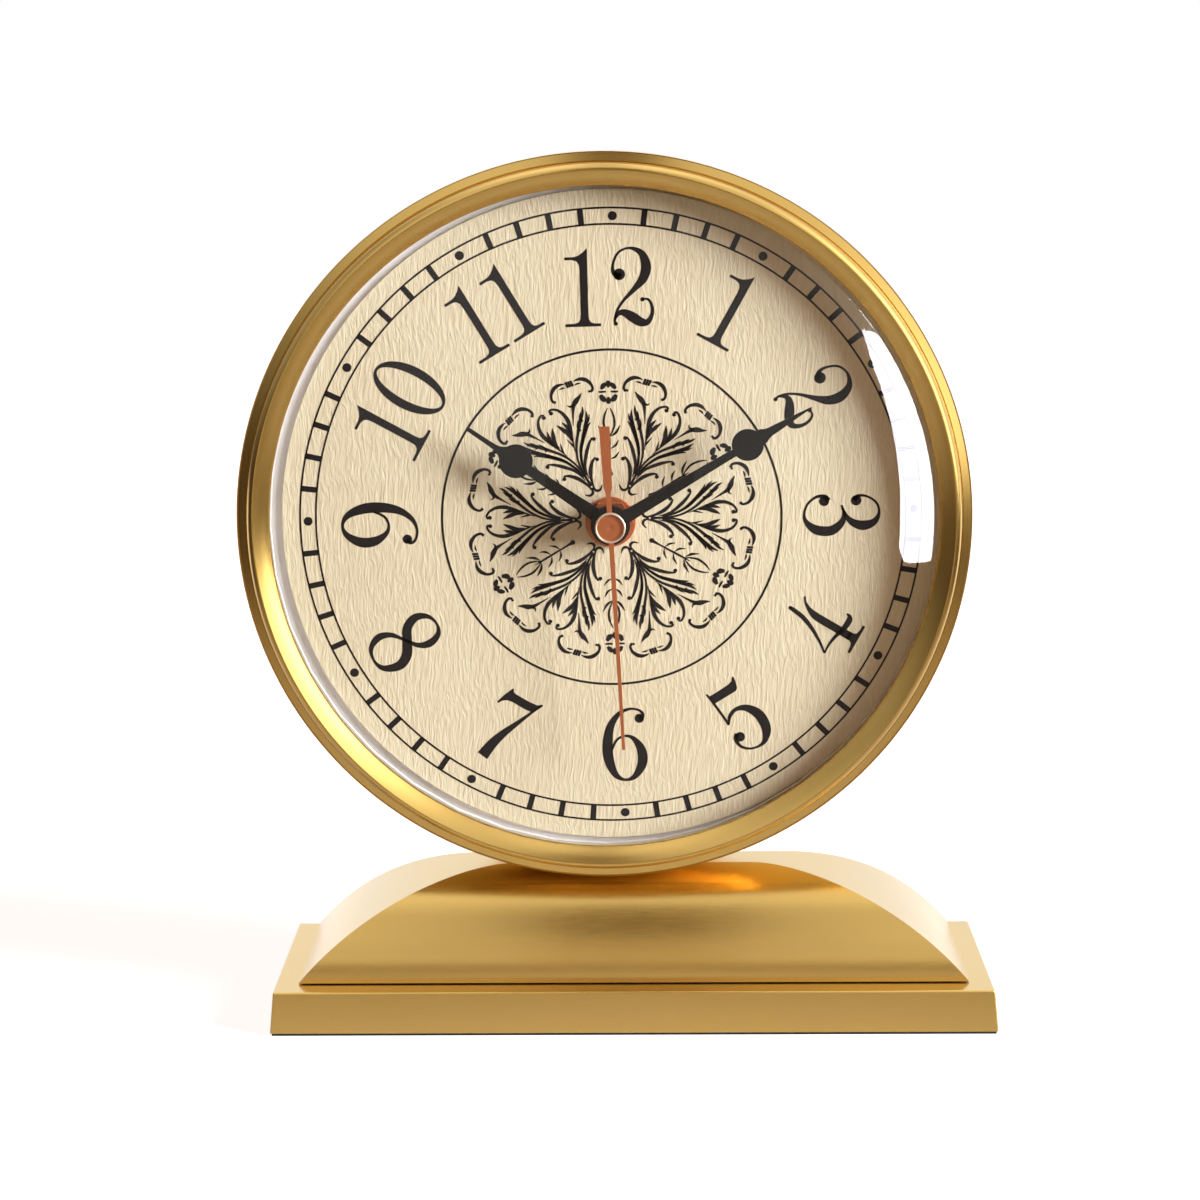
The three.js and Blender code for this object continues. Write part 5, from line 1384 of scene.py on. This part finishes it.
class CLOCK_OT_dial(PieceOperator, bpy.types.Operator):
    """Make the dial plate and everything printed on it"""
    bl_idname = "clock.dial"
    bl_label = "Dial and print"

    def make(self, settings):
        dial = settings.dial
        radius, hole, thickness, margin = radius_of("dial_plate"), 4.3, 0.5, 0.5
        profile = softened([
            (radius, -thickness), (radius, 0.0), (radius - margin, 0.0), (hole + margin, 0.0), (hole, 0.0),
            (hole, -thickness),
        ], [0.06, 0.06, 0, 0, 0, 0], 2)
        card = turned("dial_card", profile, SHAFT_AXIS, steps=192)
        given(card, "clock_body", "cream_card", "card", "dial_plate")
        turn = -math.degrees(dial.print_turn)
        for name, sheet, aside, lift in (
            ("printed_numerals", self.numerals(dial), 0.0, 0.0),
            ("printed_track", self.track(dial), 0.0, 0.0),
            ("printed_ornament", self.ornament(dial), 0.3 * MM, 0.6 * MM),
        ):
            def place(across, up):
                right, above = clockwise(across, up, turn)
                return SHAFT.x + right + aside, SHAFT.z + above + lift

            placed = Sheet()
            placed.moved(sheet, place)
            given(placed.piece(name, INK_BACK, INK_FRONT), "clock_body", "black_metal", "ink")

    def numerals(self, dial):
        """The figures of all hours, each turned and in its place."""
        sheet = Sheet()
        size = dial.numeral_height
        for hour, (turn, reach, bearing) in HOURS.items():
            at = clockwise(0, reach * MM, bearing)

            def place(across, up):
                right, above = clockwise(across * size, up * size, turn)
                return at[0] + right, at[1] + above

            sheet.moved(numeral(hour, dial.numeral_weight), place)
        return sheet

    def track(self, dial):
        """The minute track: two lines, bars for minutes and dots for hours, a little unevenly spaced."""
        sheet = Sheet()
        line, bar, dot = 0.23 * MM, 0.7 * MM, 1.1 * MM  # half widths and a radius
        turned_by, drift, drift_from = 0.25, 2.0, 37  # degrees
        for radius in (dial.track_outer, dial.track_inner):
            sheet.band((0, 0), (radius + line,) * 2, (radius - line,) * 2, 240)
        for minute in range(60):
            bearing = minute * 6 + turned_by + drift * math.cos(math.radians(minute * 6 + drift_from))
            if minute % 5 == 0:
                sheet.dot(*clockwise(0, (dial.track_outer + dial.track_inner) / 2, bearing), dot, 28)
                continue
            sheet.face([
                clockwise(across, up, bearing)
                for across, up in mirrored([(-bar, dial.track_inner), (-bar, dial.track_outer)])
            ])
        return sheet

    def ornament(self, dial):
        """The leaf rosette in the middle: six sectors, each of two mirrored halves, within a thin ring."""
        sheet = Sheet()
        line = 0.28 * MM
        sheet.band((0, 0), (dial.ring_radius + line,) * 2, (dial.ring_radius - line,) * 2, 192)
        lobes = [
            [(LOBE_TURN - degrees, radius, width) for degrees, radius, width in stroke] for stroke in SPRAYS[:2]
        ]
        ropes = [[(*near, ROPE_WIDTH), (*far, ROPE_WIDTH)] for near, far in zip(ROPE[0::2], ROPE[1::2])]
        for sector in range(6):
            for side, strokes, balls in (
                (1, SPRAYS + ropes + lobes, SPRAY_BALLS), (-1, SPRAYS + ropes + lobes, SPRAY_BALLS),
                (1, AXIS_SPRAYS, AXIS_BALLS),
            ):
                for stroke in strokes:
                    self.spray(sheet, stroke, sector, side, dial.ornament_weight)
                for degrees, radius, size in balls:
                    sheet.dot(*clockwise(0, radius * MM, sector * 60 + side * degrees), size * MM, 14)
        return sheet

    def spray(self, sheet, stroke, sector, side, weight):
        """One tapering stroke, given round the middle of the dial."""
        path = []
        for degrees, radius, width in stroke:
            across, up = clockwise(0, radius * MM, sector * 60 + side * degrees)
            path.append((across, up, width * weight * MM))
        sheet.ribbon(smooth_path(path, 5))


class CLOCK_OT_hands(PieceOperator, bpy.types.Operator):
    """Make the hands, their cap, the washer and the nut"""
    bl_idname = "clock.hands"
    bl_label = "Hands"

    # A spade's neck: share of the way from the bulge to the tip, and share of the neck's width
    NECK = ((0.04, 1.9), (0.1, 1.4), (0.18, 1.12), (0.3, 1.0))

    def spade(self, name, settings, reach, bulge, bulge_radius, root, end, neck, tip, degrees, back, bore):
        """A spade hand, turned clockwise to its place.

        All values are in millimetres but the turn: its reach, the bulge's place and radius, half widths at
        the root, at the bulge, at the neck and at the tip, the place of its back before the dial, and its
        bore's radius.
        """
        boss, thickness = 4.8, 0.6
        right = arc((0, 0), boss, -90, math.degrees(math.acos(root / boss)), 20)[1:]
        right += [(root * 0.92, boss + 3), (end * 1.02, bulge - bulge_radius - 2.2)]
        low = -math.degrees(math.acos(end / bulge_radius))
        high = math.degrees(math.acos(neck / bulge_radius)) - 16
        right += arc((0, bulge), bulge_radius, low, high, 18)
        narrow = self.NECK[-1][0]
        widths = [(share, neck * width) for share, width in self.NECK]
        widths += [(share, neck + (tip - neck) * (share - narrow) / (1 - narrow)) for share in (0.5, 0.75, 1.0)]
        top = bulge + bulge_radius
        right += [(across, top + (reach - top) * share) for share, across in widths]
        hand = plate(name, round_shaft(right, degrees), ahead(back), ahead(back + thickness))
        pick_nothing()
        bpy.ops.mesh.primitive_cylinder_add(
            vertices=48, radius=bore * MM, depth=2 * MM, rotation=TURNS["Y"],
            location=(SHAFT.x, ahead(back + thickness / 2), SHAFT.z),
        )
        combined(hand, "DIFFERENCE", settled("hole"))
        return bevelled(hand, settings.hands.hand_edge, 2, 50, 35)

    def make(self, settings):
        hands = settings.hands
        hour = self.spade(
            "spade_hour_hand", settings, reach=hands.hour_length / MM, bulge=27.9, bulge_radius=4.15,
            root=1.7, end=1.25, neck=0.62, tip=0.5, degrees=304.6, back=4.3, bore=2.5,
        )
        given(hour, "hour_work", "black_metal", "lacquer", "hour_hand")
        minute = self.spade(
            "spade_minute_hand", settings, reach=hands.minute_length / MM, bulge=38.9, bulge_radius=3.9,
            root=1.7, end=0.95, neck=0.95, tip=0.12, degrees=59.5, back=5.9, bore=1.65,
        )
        given(minute, "minute_work", "black_metal", "lacquer", "minute_hand")

        tail, reach = hands.tail_length / MM, hands.second_length / MM
        stem, hub = 0.62, arc((0, 0), 2.25, -74, 74, 14)
        right = [(1.3, -tail), (1.04, -9.6), (stem, -8.4), (stem, -2.2), *hub, (stem, 3.4), (0.38, reach)]
        second = plate("second_pointer", round_shaft(right, 177), ahead(7.7), ahead(8.1))
        bevelled(second, 0.06 * MM, 2, 50, 35)
        given(second, "second_work", "copper_finish", "copper", "second_hand")

        side = softened(
            [(3.7, 8.4), (3.75, 8.7), (3.75, 9.85), (3.35, 9.9), (3.25, 9.55)], [0.1, 0.2, 0.35, 0.15, 0.15],
        )
        profile = [(0, 8.4), *side, (0.9, 9.6), (0.35, 9.5), (0, 9.46)]
        cap = turned("hub_cap", profile, SHAFT_AXIS, steps=72, closed=False)
        given(cap, "second_work", "copper_finish", "copper", "second_cap")

        profile = softened([(6.25, 0.3), (6.25, 0.9), (4.3, 0.9), (4.3, 0.3)], [0.1, 0.25, 0.1, 0])
        washer = turned("turned_washer", profile, SHAFT_AXIS, steps=72)
        given(washer, "clock_body", "copper_finish", "copper", "dial_washer")
        coated("copper", "bush_nut")


class CLOCK_OT_back(PieceOperator, bpy.types.Operator):
    """Make the rear cover, its screws, the cell and the setting knob"""
    bl_idname = "clock.back"
    bl_label = "Back"

    def make(self, settings):
        self.cover()
        for index in range(1, 5):
            self.screw(index)
        self.cell()
        self.knob()

    def opening(self, name, wall, near, far):
        """A square plate for the movement's window, larger by a wall, between two places before the dial."""
        half, corner = 28.5, 4.0
        return plate(name, rounded_square((half + wall) * MM, (corner + wall) * MM), ahead(near), ahead(far))

    def cover(self):
        """The rear cover with a groove near its rim and a skirt round its window."""
        radius, back = radius_of("rear_cover"), ahead_of(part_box("rear_cover")[1].y)
        cover = turned("back_cover", [
            (0, back), (radius - 4.0, back), (radius - 3.6, back + 0.3), (radius - 3.0, back + 0.3),
            (radius - 2.6, back), (radius - 0.3, back), (radius, back + 0.3), (radius, back + 2), (0, back + 2),
        ], DRUM_AXIS, closed=False)
        skirt = self.opening("skirt", 1.4, back + 1.9, back + 8.5)
        combined(skirt, "DIFFERENCE", self.opening("hollow", 0, back, back + 12))
        combined(cover, "DIFFERENCE", self.opening("window", 0, back - 3, back + 12))
        pick(skirt, cover)
        bpy.ops.object.join()
        cover = settled("back_cover")
        smoothed(cover)
        given(cover, "clock_body", "black_plastic", "black", "rear_cover")

    def screw(self, index):
        """A screw of the rear cover with its crossed slots."""
        node = f"rear_cover_screw_{index}"
        at, (low, high) = middle(node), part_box(node)
        tip, head = ahead_of(low.y), ahead_of(high.y)
        screw = turned(f"cover_screw_{index}", [
            (0, head + 0.2), (1.0, head + 0.12), (1.9, head + 0.04), (2.25, head + 0.35), (2.31, head + 0.9),
            (1.1, head + 0.9), (1.1, tip - 0.6), (0.2, tip), (0, tip),
        ], on_face(at), steps=40, closed=False)
        length_half, width_half, depth = 1.25 * MM, 0.26 * MM, 0.62
        combined(screw, "DIFFERENCE", *(
            block("slot", (at.x - a, ahead(head + depth), at.z - b), (at.x + a, ahead(head - 1), at.z + b))
            for a, b in ((length_half, width_half), (width_half, length_half))
        ))
        smoothed(screw, 35)
        given(screw, "clock_body", "steel", "steel", node)

    def cell(self):
        """The cell, which lies across the movement."""
        low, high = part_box("cell")
        at = middle("cell")
        reach = (high.x - low.x) / MM
        cell = turned("dry_cell", [
            (0, 0.12), (5.0, 0.12), (5.5, 0.0), (6.5, 0.05), (6.95, 0.3), (7.1, 0.7), (7.1, reach - 2.2),
            (6.9, reach - 1.6), (6.3, reach - 1.3), (5.2, reach - 1.35), (4.8, reach - 1.0),
            (2.75, reach - 1.0), (2.75, reach - 0.15), (2.6, reach), (0, reach),
        ], (low.x, at.y, at.z), axis="X", steps=64, closed=False)
        given(cell, "clock_body", "cell_skin", "cell", "cell")

    def knob(self):
        """The fluted knob that sets the hands."""
        low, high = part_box("setting_knob")
        at = middle("setting_knob")
        back = ahead_of(high.y)
        flutes, steps, mean, depth = 14, 168, 6.25, 0.25
        outline = []
        for step in range(steps):
            angle = 2 * math.pi * step / steps
            radius = mean + depth * math.cos(flutes * angle)
            outline.append((at.x + radius * MM * math.cos(angle), at.z + radius * MM * math.sin(angle)))
        knob = plate("fluted_knob", outline, low.y, high.y)
        inner, outer, deep = 2.2, 4.9, 0.9
        groove = turned("groove", [
            (inner, back - 1), (outer, back - 1), (outer, back + deep), (inner, back + deep),
        ], on_face(at), steps=48)
        combined(knob, "DIFFERENCE", groove)
        bevelled(knob, 0.25 * MM, 2, 50, 35)
        given(knob, "setting_work", "black_plastic", "black", "setting_knob")


class CLOCK_OT_movement(PieceOperator, bpy.types.Operator):
    """Give the pieces that stay as they are their finishes"""
    bl_idname = "clock.movement"
    bl_label = "Movement finishes"

    def make(self, settings):
        coated("steel", "base_screw_1", "base_screw_2", "drum_screw_1", "drum_screw_2", "nut_plate",
               "contact_positive", "contact_negative", "stator", "coil_core", "quartz_crystal")
        coated("white", "lens_gasket", "intermediate_wheel", "seconds_wheel", "third_wheel",
               "motion_wheel", "hour_wheel", "setting_arbor")
        coated("board", "dial_board")
        coated("black", "movement_housing", "movement_lid")
        coated("rubber", "rubber_washer")
        coated("wire", "coil")
        coated("green", "circuit_board")
        coated("magnet", "rotor")
        coated("plain_brass", "centre_wheel", "minute_pipe")


class CLOCK_PT_panel(bpy.types.Panel):
    """Lists the clock's pieces"""
    bl_label = "Desk clock"
    bl_idname = "CLOCK_PT_panel"
    bl_space_type = "VIEW_3D"
    bl_region_type = "UI"
    bl_category = "Clock"

    def draw(self, context):
        """Draws the buttons, then the settings in groups."""
        column = self.layout.column()
        for operator in OPERATORS:
            column.operator(operator.bl_idname)
        settings = context.scene.desk_clock
        for group in (settings.base, settings.drum, settings.dial, settings.hands, settings.colours):
            box = column.box()
            for key in group.__annotations__:
                box.prop(group, key)


OPERATORS = (
    CLOCK_OT_stage, CLOCK_OT_plinth, CLOCK_OT_arch, CLOCK_OT_drum, CLOCK_OT_bezel, CLOCK_OT_lens, CLOCK_OT_dial,
    CLOCK_OT_hands, CLOCK_OT_back, CLOCK_OT_movement,
)
GROUPS = (
    ClockBaseSizes, ClockDrumSizes, ClockDialSizes, ClockHandSizes, ClockColours, ClockSettings,
)


def register():
    """Adds the clock's classes and settings."""
    for kind in GROUPS + OPERATORS + (CLOCK_PT_panel,):
        bpy.utils.register_class(kind)
    bpy.types.Scene.desk_clock = bpy.props.PointerProperty(type=ClockSettings)


def unregister():
    """Takes them away again."""
    del bpy.types.Scene.desk_clock
    for kind in reversed(GROUPS + OPERATORS + (CLOCK_PT_panel,)):
        bpy.utils.unregister_class(kind)


def main():
    """Builds the clock."""
    register()
    bpy.ops.clock.stage()
    bpy.ops.clock.plinth()
    bpy.ops.clock.arch()
    bpy.ops.clock.drum()
    bpy.ops.clock.bezel()
    bpy.ops.clock.lens()
    bpy.ops.clock.dial()
    bpy.ops.clock.hands()
    bpy.ops.clock.back()
    bpy.ops.clock.movement()


if __name__ == "__main__":
    main()
